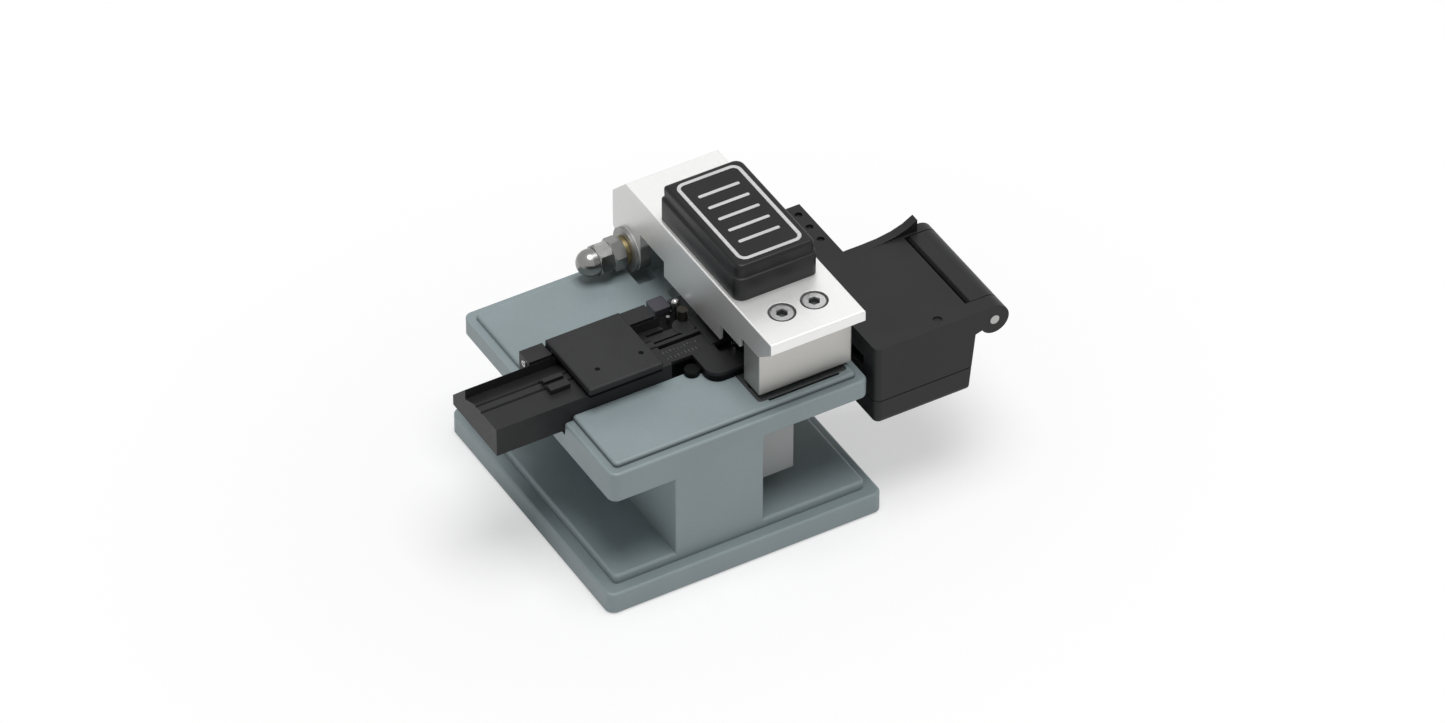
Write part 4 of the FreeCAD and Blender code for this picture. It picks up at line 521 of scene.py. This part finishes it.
def moulded(name, color, rough=0.42, grain_scale=1500.0):
    """Moulded plastic: an even fine texture with slow gloss changes from the tool."""
    finish = Finish(name, Specular_IOR_Level=0.30)
    cells = finish.add("ShaderNodeTexVoronoi", {"feature": "SMOOTH_F1"}, Vector=finish.place,
                       Scale=grain_scale)
    cloud = finish.noise(70.0, 2.0)
    finish.feed("Base Color", finish.mottled(finish.spread(cloud, 0.35, 0.65), color, 0.88, 1.14))
    finish.feed("Roughness", finish.spread(cloud, 0.3, 0.7, rough - 0.04, rough + 0.06))
    finish.bump(cells, 0.14, 0.00005)
    return finish.material


def soft_rubber(name, color):
    """Matt black rubber with a little pale dust."""
    finish = Finish(name, Specular_IOR_Level=0.25)
    grain = finish.noise(1800.0, 3.0)
    dust = finish.noise(220.0, 4.0, 0.6)
    finish.feed("Base Color", finish.mottled(finish.spread(dust, 0.5, 0.75), color, 1.0, 1.9))
    finish.feed("Roughness", finish.spread(grain, 0.3, 0.7, 0.72, 0.86))
    finish.bump(grain, 0.3, 0.00005)
    return finish.material


class CLEAVER_OT_stage(bpy.types.Operator):
    """Set up the camera, the pale floor and the soft lights"""
    bl_idname = "cleaver.stage"
    bl_label = "Stage, camera and lights"

    def execute(self, context):
        wanted = settings(context).stage
        scene = context.scene
        scene.view_settings.view_transform = "Standard"
        azimuth, elevation = wanted.azimuth, wanted.elevation
        back = Vector((math.sin(azimuth) * math.cos(elevation), -math.cos(azimuth) * math.cos(elevation),
                       math.sin(elevation)))
        right = Vector((math.cos(azimuth), math.sin(azimuth), 0.0))
        up = back.cross(right)
        lens = bpy.data.cameras.new("photo_camera")
        lens.sensor_width = 36.0
        lens.lens = wanted.focal_length
        lens.clip_start, lens.clip_end = 0.05, 20.0
        camera = bpy.data.objects.new("photo_camera", lens)
        scene.collection.objects.link(camera)
        place = (Vector((0.0, 0.0, wanted.target_height)) + back * wanted.distance
                 + right * wanted.offset_right + up * wanted.offset_up)
        turn = Matrix((right, up, back)).transposed()
        camera.matrix_world = Matrix.Translation(place) @ turn.to_4x4()
        scene.camera = camera
        self.make_floor(scene, wanted)
        self.make_sky(scene, wanted.sky_level)
        self.make_light(scene, wanted)
        return {"FINISHED"}

    def make_floor(self, scene, wanted):
        """A pale floor that keeps the shadow round the base and runs out to plain white."""
        mesh = bpy.data.meshes.new("floor")
        shape = bmesh.new()
        bmesh.ops.create_grid(shape, x_segments=2, y_segments=2, size=6.0)
        shape.to_mesh(mesh)
        shape.free()
        floor = bpy.data.objects.new("floor", mesh)
        scene.collection.objects.link(floor)
        finish = Finish("pale_floor", Roughness=0.9, Specular_IOR_Level=0.0)
        cloud = finish.noise(3.0, 2.0)
        finish.feed("Base Color", finish.mottled(cloud, wanted.floor_color, 0.995, 1.0))
        reach = finish.add("ShaderNodeVectorMath", {"operation": "LENGTH"}, output=1,
                           n0=finish.stretched(0.8, 1.0, 0.0))
        seen = finish.add("ShaderNodeLightPath", output=0)
        finish.run_out(finish.spread(reach, wanted.shadow_reach, wanted.white_reach, 0.50, 1.0) * seen)
        mesh.materials.append(finish.material)

    def make_sky(self, scene, level):
        """The world lights the cleaver softly, and is brighter to the camera and in metal."""
        world = bpy.data.worlds.new("soft_sky")
        scene.world = world
        world.use_nodes = True
        tree = world.node_tree
        tree.nodes.clear()
        out = tree.nodes.new("ShaderNodeOutputWorld")
        sky = tree.nodes.new("ShaderNodeBackground")
        white = tree.nodes.new("ShaderNodeBackground")
        sky.inputs["Strength"].default_value = level
        sky.inputs["Color"].default_value = (1.0, 1.0, 1.0, 1.0)
        white.inputs["Strength"].default_value = 1.0
        rays = tree.nodes.new("ShaderNodeLightPath")
        seen = (Wire(tree, rays.outputs["Is Camera Ray"]) + Wire(tree, rays.outputs["Is Glossy Ray"])
                + Wire(tree, rays.outputs["Is Transmission Ray"]))
        mix = tree.nodes.new("ShaderNodeMixShader")
        tree.links.new(seen.socket, mix.inputs[0])
        tree.links.new(sky.outputs[0], mix.inputs[1])
        tree.links.new(white.outputs[0], mix.inputs[2])
        tree.links.new(mix.outputs[0], out.inputs[0])

    def make_light(self, scene, wanted):
        """One large round light almost overhead, aimed at the cleaver."""
        data = bpy.data.lights.new("key_light", "AREA")
        data.shape = "DISK"
        data.size = wanted.key_size
        data.energy = wanted.key_power
        lamp = bpy.data.objects.new("key_light", data)
        scene.collection.objects.link(lamp)
        place = Vector(wanted.key_place)
        aim = Vector((10.0 * MM, 0.0, 30.0 * MM)) - place
        lamp.matrix_world = Matrix.Translation(place) @ aim.to_track_quat("-Z", "Y").to_matrix().to_4x4()


class CLEAVER_OT_frame(bpy.types.Operator):
    """Paint the cast frame and finish the rubber sheet below it"""
    bl_idname = "cleaver.frame"
    bl_label = "Frame and base sheet"

    def execute(self, context):
        paint = settings(context).paint
        whole_depth = CAD_HIGH[1]
        # Painted shade at the foot of the raised deck's step and the base's step, with its tone last
        steps = ((paint.deck_step, paint.painted_shade_rise, paint.deck_step_back, 0.42),
                 (paint.base_step, paint.painted_shade_rise, whole_depth, 0.72))
        dress(powder_coat("frame_powder_coat", paint.frame_color, paint.grain_size, steps), "frame")
        dress(soft_rubber("base_sheet_rubber", paint.rubber_color), "base_pad")
        return {"FINISHED"}


class CLEAVER_OT_arm(bpy.types.Operator):
    """Finish the clamp arm, its foot block and magnet"""
    bl_idname = "cleaver.arm"
    bl_label = "Clamp arm and foot block"

    def execute(self, context):
        metal = settings(context).metal
        arm_low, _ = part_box("clamp_arm")
        hinge = middle_of("hinge_shaft")
        # The hinge lug's wall face, front and height, which bound its painted shade
        lug = Vector((arm_low.x + metal.boss_height, hinge.y - metal.lug_radius, hinge.z + 3.5 * MM))
        dress(satin_aluminium("arm_satin_aluminium", metal.arm_color, lug=lug), "clamp_arm")
        dress(satin_aluminium("foot_block_satin", metal.block_color, 0.85), "foot_block")
        dress(plated("magnet_nickel", (0.62, 0.61, 0.59), 0.28), "hold_down_magnet", "lid_magnets",
              "holder_magnets")
        return {"FINISHED"}


class CLEAVER_OT_cover(bpy.types.Operator):
    """Mould the stepped cover on the arm and lay its silver border and bars"""
    bl_idname = "cleaver.cover"
    bl_label = "Arm cover and trim"

    def execute(self, context):
        plastic = settings(context).plastic
        wanted = settings(context).cover
        cad_low, cad_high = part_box("arm_cap")
        low = Vector((cad_low.x + 0.4 * MM, cad_low.y - wanted.front_reach, cad_low.z))
        high = Vector((cad_high.x - 0.7 * MM, cad_high.y - 0.6 * MM, cad_high.z))
        black = moulded("arm_cover_plastic", plastic.cap_color, 0.36, 1900.0)
        cover = place_piece("arm_cover", self.make_cover(low, high, wanted), black, "arm")
        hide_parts("arm_cap")
        silver = self.make_foil(plastic.trim_color)
        trim = place_piece("arm_cover_trim", self.make_trim(low, high, wanted), silver, "arm")
        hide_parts("cap_trim")
        return {"FINISHED"}

    def make_cover(self, low, high, wanted):
        """Upright skirt, a ledge with a soft edge, and a crown that is rounded over at the top."""
        shape = bmesh.new()
        corner = wanted.corner
        radii = (corner, corner * 0.7, corner * 1.15, corner * 0.5)
        ledge_height = high.z - wanted.crown_height
        edge = wanted.ledge
        levels = [(0.0, low.z), (0.0, low.z + 2.0 * MM), (0.0, ledge_height - 0.3 * MM),
                  (0.06 * MM, ledge_height - 0.12 * MM), (0.2 * MM, ledge_height), (edge, ledge_height),
                  (edge + 0.12 * MM, ledge_height + 0.1 * MM), (edge + 0.18 * MM, ledge_height + 0.4 * MM),
                  (edge + 0.1 * MM, high.z - 1.1 * MM)]
        for step in range(1, 6):
            angle = math.pi / 2 * step / 5
            levels.append((edge + 0.1 * MM + 0.8 * MM * (1 - math.cos(angle)),
                           high.z - 0.9 * MM * (1 - math.sin(angle))))
        levels.append((edge + 2.2 * MM, high.z))
        loops = [rounded_loop(shape, low, high, radii, inset, height) for inset, height in levels]
        for loop, (inset, height) in zip(loops, levels):
            self.pull_in(loop, low, high, inset)
        skin(shape, loops)
        return smooth_mesh("arm_cover", shape, 0.75)

    def pull_in(self, loop, low, high, inset):
        """Keep every point at least the inset away from the cover's outer box."""
        for vert in loop:
            vert.co.x = min(max(vert.co.x, low.x + inset), high.x - inset)
            vert.co.y = min(max(vert.co.y, low.y + inset), high.y - inset)

    def make_trim(self, low, high, wanted):
        """Border and five bars, raised a little and bevelled on every edge."""
        shape = bmesh.new()
        line, turn, margin = wanted.trim_line, wanted.trim_corner, wanted.trim_margin
        bevel = 0.1 * MM
        foot = high.z - 0.01 * MM
        top = foot + 0.24 * MM
        inside = Vector((line, line))
        outer_low = Vector((low.x + margin, low.y + margin))
        outer_high = Vector((high.x - margin, high.y - margin))
        outer = (outer_low, outer_high, (turn,) * 4)
        inner = (outer_low + inside, outer_high - inside, (turn - line,) * 4)
        ring = [rounded_loop(shape, *edge, inset, height) for edge, inset, height in (
            (outer, 0.0, foot), (outer, 0.0, top - bevel), (outer, bevel, top),
            (inner, -bevel, top), (inner, 0.0, top - bevel), (inner, 0.0, foot))]
        skin(shape, ring + ring[:1], closed=False)
        middle = (low.y + high.y) / 2
        for index in range(5):
            centre = middle + wanted.bar_pitch * (index - 2)
            bar_low = Vector((inner[0].x + 2.0 * MM, centre - line / 2))
            bar_high = Vector((inner[1].x - 2.0 * MM, centre + line / 2))
            radii = (line * 0.45,) * 4
            skin(shape, [rounded_loop(shape, bar_low, bar_high, radii, inset, height)
                         for inset, height in ((0.0, foot), (0.0, top - bevel), (bevel, top))])
        return smooth_mesh("arm_cover_trim", shape, 0.5)

    def make_foil(self, color):
        """Silver foil with fine brushed lines."""
        finish = Finish("trim_silver_foil", Metallic=0.75)
        lines = finish.noise(2400.0, 2.0, 0.5, finish.stretched(0.05, 1.0, 1.0))
        finish.feed("Base Color", finish.mottled(finish.spread(lines, 0.35, 0.65), color, 0.93, 1.04))
        finish.feed("Roughness", finish.spread(lines, 0.3, 0.7, 0.24, 0.34))
        return finish.material


class CLEAVER_OT_hinge(bpy.types.Operator):
    """Finish the hinge shaft, its nuts and the brass washer"""
    bl_idname = "cleaver.hinge"
    bl_label = "Hinge shaft and nuts"

    def execute(self, context):
        metal = settings(context).metal
        dress(plated("hinge_nickel_plate", metal.nut_color), "hinge_shaft", "hinge_nut", "acorn_nut")
        dress(plated("washer_brass", metal.brass_color, 0.30), "brass_washer")
        return {"FINISHED"}


class CLEAVER_OT_screws(bpy.types.Operator):
    """Finish every screw and pin"""
    bl_idname = "cleaver.screws"
    bl_label = "Screws and pins"

    def execute(self, context):
        dress(self.make_head_finish(), "arm_screws")
        dress(plated("screw_steel", (0.45, 0.45, 0.45), 0.30), "cap_screws", "holder_screws", "plate_screws",
              "tongue_screws", "stop_screws")
        dress(plated("black_screw_steel", (0.06, 0.06, 0.062), 0.36), "cover_screws")
        dress(plated("pin_steel", (0.46, 0.46, 0.45), 0.22), "scrap_hinge_pin", "clamp_pins", "detent_pin",
              "bracket_pins")
        dress(self.make_rolled_pin(), "lid_hinge_pin")
        dress(ground_steel("post_bronze", (0.045, 0.042, 0.033), (1.0, 1.0, 0.05), 0.42, 0.8), "guide_post")
        return {"FINISHED"}

    def make_rolled_pin(self):
        """Rolled steel pin, with painted shade for the hollow in the middle of its ends."""
        low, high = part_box("lid_hinge_pin")
        middle = middle_of("lid_hinge_pin")
        radius = (high.z - low.z) / 2
        finish = Finish("rolled_pin_steel", Metallic=0.9)
        reach = finish.away((0.0, middle.y, middle.z), x=0.0)
        # painted shade: the pin's hollow is drawn as a dark disc, not cut
        hollow_shade = finish.spread(reach, 0.50 * radius, 0.58 * radius, 1.0, 0.0)
        lines = finish.spread(finish.noise(1200.0, 2.0), 0.35, 0.65)
        steel = finish.blend(lines, (0.56, 0.56, 0.55, 1.0), (0.66, 0.66, 0.65, 1.0))
        finish.feed("Base Color", finish.blend(hollow_shade, steel, (0.01, 0.01, 0.01, 1.0)))
        finish.feed("Metallic", hollow_shade * -0.9 + 0.9)
        finish.feed("Roughness", finish.spread(lines, 0.0, 1.0, 0.26, 0.34))
        return finish.material

    def make_head_finish(self):
        """Turned steel heads with painted shade in the socket and a dark line of painted shade where the head
        meets its seat.
        """
        low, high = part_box("arm_screws")
        radius = (high.y - low.y) / 2
        along = (low.y + high.y) / 2
        finish = Finish("socket_head_steel", Metallic=0.85)
        from_left = finish.away((low.x + radius, along, 0.0), z=0.0)
        reach = from_left.smallest(finish.away((high.x - radius, along, 0.0), z=0.0))
        # painted shade in the socket's recess and round the head's edge where it meets its seat
        socket_depth_shade = finish.spread(finish.axis(2), high.z - 0.6 * MM, high.z - 0.2 * MM, 1.0, 0.0)
        socket = socket_depth_shade * finish.spread(reach, 0.56 * radius, 0.60 * radius, 1.0, 0.0)
        rim_shade = finish.spread(reach, 0.90 * radius, 0.96 * radius)
        turned = finish.spread(finish.noise(9.0 / radius, 2.0), 0.35, 0.65)
        steel = finish.blend(turned, (0.60, 0.60, 0.60, 1.0), (0.70, 0.70, 0.70, 1.0))
        steel = finish.blend(rim_shade, steel, (0.20, 0.20, 0.20, 1.0))
        finish.feed("Base Color", finish.blend(socket, steel, (0.10, 0.105, 0.105, 1.0)))
        finish.feed("Metallic", socket * -0.6 + 0.85)
        finish.feed("Roughness", finish.spread(turned, 0.0, 1.0, 0.34, 0.44))
        return finish.material


class CLEAVER_OT_holder(bpy.types.Operator):
    """Finish the grooved fibre holder, its clip and the hinged lid"""
    bl_idname = "cleaver.holder"
    bl_label = "Fibre holder and lid"

    def execute(self, context):
        wanted = settings(context)
        black = wanted.metal.anodised_color
        dress(black_anodise("holder_black_anodise", black), "fibre_holder")
        _, lid_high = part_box("holder_lid")
        # Painted shadow along the lid's lower edge, where it overhangs the holder
        below_edge = lid_high.z - 1.6 * MM
        dress(black_anodise("lid_black_anodise", shade(black, 1.25)[:3], below_edge), "holder_lid")
        dress(moulded("clip_black_plastic", wanted.plastic.box_color, 0.45), "fibre_clip")
        dress(soft_rubber("lid_pad_rubber", wanted.paint.rubber_color), "lid_pad")
        return {"FINISHED"}


class CLEAVER_OT_clamps(bpy.types.Operator):
    """Finish the clamp brackets, pads, clamp head, anvil and detent"""
    bl_idname = "cleaver.clamps"
    bl_label = "Fibre clamps and anvil"

    def execute(self, context):
        wanted = settings(context)
        black = wanted.metal.anodised_color
        dress(black_anodise("bracket_black_anodise", black), "right_clamp_bridge", "clamp_head")
        dress(black_anodise("post_grey_anodise", (0.075, 0.072, 0.085)), "detent_post")
        dress(self.make_scale_finish(black), "left_clamp_bracket")
        self.make_collar(soft_rubber("detent_collar_rubber", (0.012, 0.012, 0.013)), wanted.detent)
        dress(soft_rubber("clamp_pad_rubber", wanted.paint.rubber_color), "lower_clamp_pads",
              "upper_clamp_pads")
        dress(ground_steel("anvil_steel", (0.55, 0.55, 0.56), (1.0, 1.0, 0.05)), "anvil")
        return {"FINISHED"}

    def make_collar(self, material, wanted):
        """A small rubber ring below the detent's ball."""
        _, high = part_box("detent_pin")
        middle = middle_of("detent_pin")
        height = high.z - wanted.ring_drop
        around, section = 32, 12
        shape = bmesh.new()
        loops = []
        for turn in range(around):
            angle = 2 * math.pi * turn / around
            loop = []
            for step in range(section):
                bend = 2 * math.pi * step / section
                reach = wanted.ring_radius + wanted.ring_wire * math.cos(bend)
                place = (middle.x + reach * math.cos(angle), middle.y + reach * math.sin(angle),
                         height + wanted.ring_wire * math.sin(bend))
                loop.append(shape.verts.new(place))
            loops.append(loop)
        skin(shape, loops + loops[:1], closed=False)
        place_piece("detent_collar", smooth_mesh("detent_collar", shape), material, "base")

    def make_scale_finish(self, color):
        """Black anodising with fine ticks beside the fibre channel, and painted shade where the bracket is
        low.
        """
        low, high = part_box("left_clamp_bracket")
        finish, base = anodised("bracket_scale_anodise", color)
        across, along, height = finish.axis(0), finish.axis(1), finish.axis(2)
        # painted shade below 40.1 mm, where the low parts of the bracket lie in shade
        shaded = finish.spread(height, 40.1 * MM, 40.5 * MM, 1.0, 0.0)
        base = finish.blend(shaded, base, shade(color, 0.35))
        on_top = finish.spread(height, high.z - 0.36 * MM, high.z - 0.34 * MM)
        half_pitch = half_row = 0.45 * MM
        pitch = finish.add("ShaderNodeMath", {"operation": "PINGPONG"}, n0=across - low.x, n1=half_pitch)
        tick = finish.spread(pitch, 0.0, 0.10 * MM, 1.0, 0.0)
        column = (finish.spread(across, low.x + 0.5 * MM, low.x + 0.52 * MM)
                  * finish.spread(across, low.x + 9.2 * MM, low.x + 9.22 * MM, 1.0, 0.0))
        near_row = self.band(finish, along, -8.8 * MM, half_row)
        far_row = self.band(finish, along, -6.6 * MM, half_row)
        between = self.band(finish, along, -7.7 * MM, 0.07 * MM) * 0.8
        rows = far_row + near_row + between
        worn = finish.spread(finish.noise(900.0, 2.0), 0.40, 0.55)
        marks = tick * column * rows * worn * on_top
        finish.feed("Base Color", finish.blend(marks, base, (0.16, 0.16, 0.165, 1.0)))
        finish.feed("Metallic", shaded * 0.75)
        return finish.material

    def band(self, finish, place, middle, half):
        """One inside a band about a middle place, zero outside it."""
        return (finish.spread(place, middle - half - 0.02 * MM, middle - half)
                * finish.spread(place, middle + half, middle + half + 0.02 * MM, 1.0, 0.0))


class CLEAVER_OT_springs(bpy.types.Operator):
    """Wind the two clamp springs"""
    bl_idname = "cleaver.springs"
    bl_label = "Clamp springs"

    def execute(self, context):
        wanted = settings(context).spring
        low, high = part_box("clamp_springs")
        wire = wanted.wire_radius
        curve = bpy.data.curves.new("clamp_spring_coils", "CURVE")
        curve.dimensions = "3D"
        curve.bevel_depth = wire
        curve.bevel_resolution = 3
        across = (low.x + high.x) / 2
        radius = (high.x - low.x) / 2 - wire
        steps = wanted.turns * TURN_STEPS
        for along in (low.y + radius + wire, high.y - radius - wire):
            spline = curve.splines.new("POLY")
            spline.points.add(steps)
            for step, point in enumerate(spline.points):
                angle = 2 * math.pi * step / TURN_STEPS
                rise = low.z + wire + (high.z - low.z - 2 * wire) * step / steps
                point.co = (across + radius * math.cos(angle), along + radius * math.sin(angle), rise, 1.0)
        coils = bpy.data.objects.new("clamp_spring_path", curve)
        mesh = bpy.data.meshes.new_from_object(coils)
        bpy.data.objects.remove(coils)
        mesh.name = "clamp_spring_coils"
        mesh.materials.clear()
        wire_steel = plated("spring_wire", (0.52, 0.52, 0.53), 0.28)
        piece = place_piece("clamp_spring_coils", mesh, wire_steel, "arm")
        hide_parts("clamp_springs")
        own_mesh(piece)
        return {"FINISHED"}


class CLEAVER_OT_carriage(bpy.types.Operator):
    """Finish the blade carriage, its plate, its tongue and its stop"""
    bl_idname = "cleaver.carriage"
    bl_label = "Blade carriage"

    def execute(self, context):
        dress(satin_aluminium("carriage_aluminium", (0.36, 0.37, 0.37), 0.2), "blade_carriage")
        dress(ground_steel("carriage_plate_steel", (0.13, 0.135, 0.14), (1.0, 0.05, 1.0)), "carriage_plate")
        dress(ground_steel("slide_tongue_steel", (0.55, 0.55, 0.56), (1.0, 0.05, 1.0)), "slide_tongue",
              "slide_stop")
        return {"FINISHED"}


class CLEAVER_OT_guard(bpy.types.Operator):
    """Bend the thin dark guard that covers the slot's edge beside the left bracket, where its darkness is
    painted shade
    """
    bl_idname = "cleaver.guard"
    bl_label = "Slot guard"

    def execute(self, context):
        wanted = settings(context).guard
        _, bracket_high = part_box("left_clamp_bracket")
        plate_low, plate_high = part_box("carriage_plate")
        edge = plate_low.x - wanted.edge_gap
        far = edge + wanted.width
        top = plate_high.z + wanted.top_gap + wanted.sheet
        foot = top - wanted.drop
        outer = self.bend(edge + wanted.bend, top - wanted.bend, wanted.bend)
        inner = self.bend(edge + wanted.bend, top - wanted.bend, wanted.bend - wanted.sheet)
        outline = [(edge, foot), *outer, (far, top), (far, top - wanted.sheet), *reversed(inner),
                   (edge + wanted.sheet, foot)]
        shape = bmesh.new()
        ends = (wanted.front, bracket_high.y + wanted.back_reach)
        loops = [[shape.verts.new((x, y, z)) for x, z in outline] for y in ends]
        skin(shape, loops)
        # painted shade: a dark sheet set where the deck's edge lies in shade
        steel = ground_steel("guard_dark_shade_steel", (0.085, 0.095, 0.095), (1.0, 0.05, 1.0), 0.36, 0.7)
        place_piece("slot_guard", smooth_mesh("slot_guard", shape, 0.5), steel, "base")
        return {"FINISHED"}

    def bend(self, across, height, radius):
        """A quarter turn, from pointing left to pointing up."""
        points = []
        for step in range(5):
            angle = math.pi * (1.0 - step / 8)
            points.append((across + radius * math.cos(angle), height + radius * math.sin(angle)))
        return points


class CLEAVER_OT_blade(bpy.types.Operator):
    """Finish the round blade, its arbor and clamp nut"""
    bl_idname = "cleaver.blade"
    bl_label = "Blade and arbor"

    def execute(self, context):
        dress(ground_steel("blade_hard_metal", (0.34, 0.35, 0.37), (1.0, 1.0, 1.0), 0.18, 1.0), "blade_disc")
        dress(ground_steel("arbor_steel", (0.52, 0.52, 0.53)), "blade_arbor", "blade_clamp_nut")
        return {"FINISHED"}


class CLEAVER_OT_scrap(bpy.types.Operator):
    """Finish the scrap cover, its bracket and the drop-down box"""
    bl_idname = "cleaver.scrap"
    bl_label = "Scrap cover and box"

    def execute(self, context):
        plastic = settings(context).plastic
        dress(moulded("scrap_cover_plastic", plastic.box_color), "scrap_cover", "cover_bracket")
        dress(moulded("scrap_box_plastic", shade(plastic.box_color, 1.08)[:3], 0.44), "scrap_box")
        self.make_shutter(moulded("window_shutter_plastic", plastic.box_color), settings(context).shutter)
        return {"FINISHED"}

    def make_shutter(self, material, wanted):
        """A plate with bevelled edges that narrows the front of the cover's window."""
        low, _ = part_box("scrap_cover")
        left, front = low.x + 0.05 * MM, low.y + wanted.start
        right, back = left + wanted.thickness, low.y + wanted.end
        radii = (0.25 * MM,) * 4
        shape = bmesh.new()
        loops = []
        for height, inset in ((wanted.bottom, 0.15 * MM), (wanted.bottom + 0.15 * MM, 0.0),
                              (wanted.top - 0.1 * MM, 0.0), (wanted.top, 0.1 * MM)):
            corners = (left + inset, front + inset), (right - inset, back - inset)
            loops.append(rounded_loop(shape, *corners, radii, inset, height))
        skin(shape, loops)
        place_piece("window_shutter", smooth_mesh("window_shutter", shape), material, "base")


OPERATORS = (
    CLEAVER_OT_stage, CLEAVER_OT_frame, CLEAVER_OT_arm, CLEAVER_OT_cover, CLEAVER_OT_hinge, CLEAVER_OT_screws,
    CLEAVER_OT_holder, CLEAVER_OT_clamps, CLEAVER_OT_springs, CLEAVER_OT_carriage, CLEAVER_OT_guard,
    CLEAVER_OT_blade, CLEAVER_OT_scrap,
)


class CLEAVER_PT_panel(bpy.types.Panel):
    """Lists the steps that dress the cleaver, with their sizes and colours"""
    bl_label = "Fibre cleaver"
    bl_idname = "CLEAVER_PT_panel"
    bl_space_type = "VIEW_3D"
    bl_region_type = "UI"
    bl_category = "Cleaver"

    def draw(self, context):
        layout = self.layout
        for operator in OPERATORS:
            layout.operator(operator.bl_idname)
        for group in CleaverSettings.__annotations__:
            values = getattr(settings(context), group)
            box = layout.box()
            for name in values.__annotations__:
                box.prop(values, name)


CLASSES = (
    StageSettings, PaintSettings, MetalSettings, PlasticSettings, CoverSettings, SpringSettings,
    DetentSettings, GuardSettings, ShutterSettings, CleaverSettings, *OPERATORS, CLEAVER_PT_panel,
)


def register():
    for item in CLASSES:
        bpy.utils.register_class(item)
    bpy.types.Scene.cleaver = PointerProperty(type=CleaverSettings)


def unregister():
    del bpy.types.Scene.cleaver
    for item in reversed(CLASSES):
        bpy.utils.unregister_class(item)


def main():
    register()
    for operator in OPERATORS:
        group, step = operator.bl_idname.split(".")
        getattr(getattr(bpy.ops, group), step)()


if __name__ == "__main__":
    main()
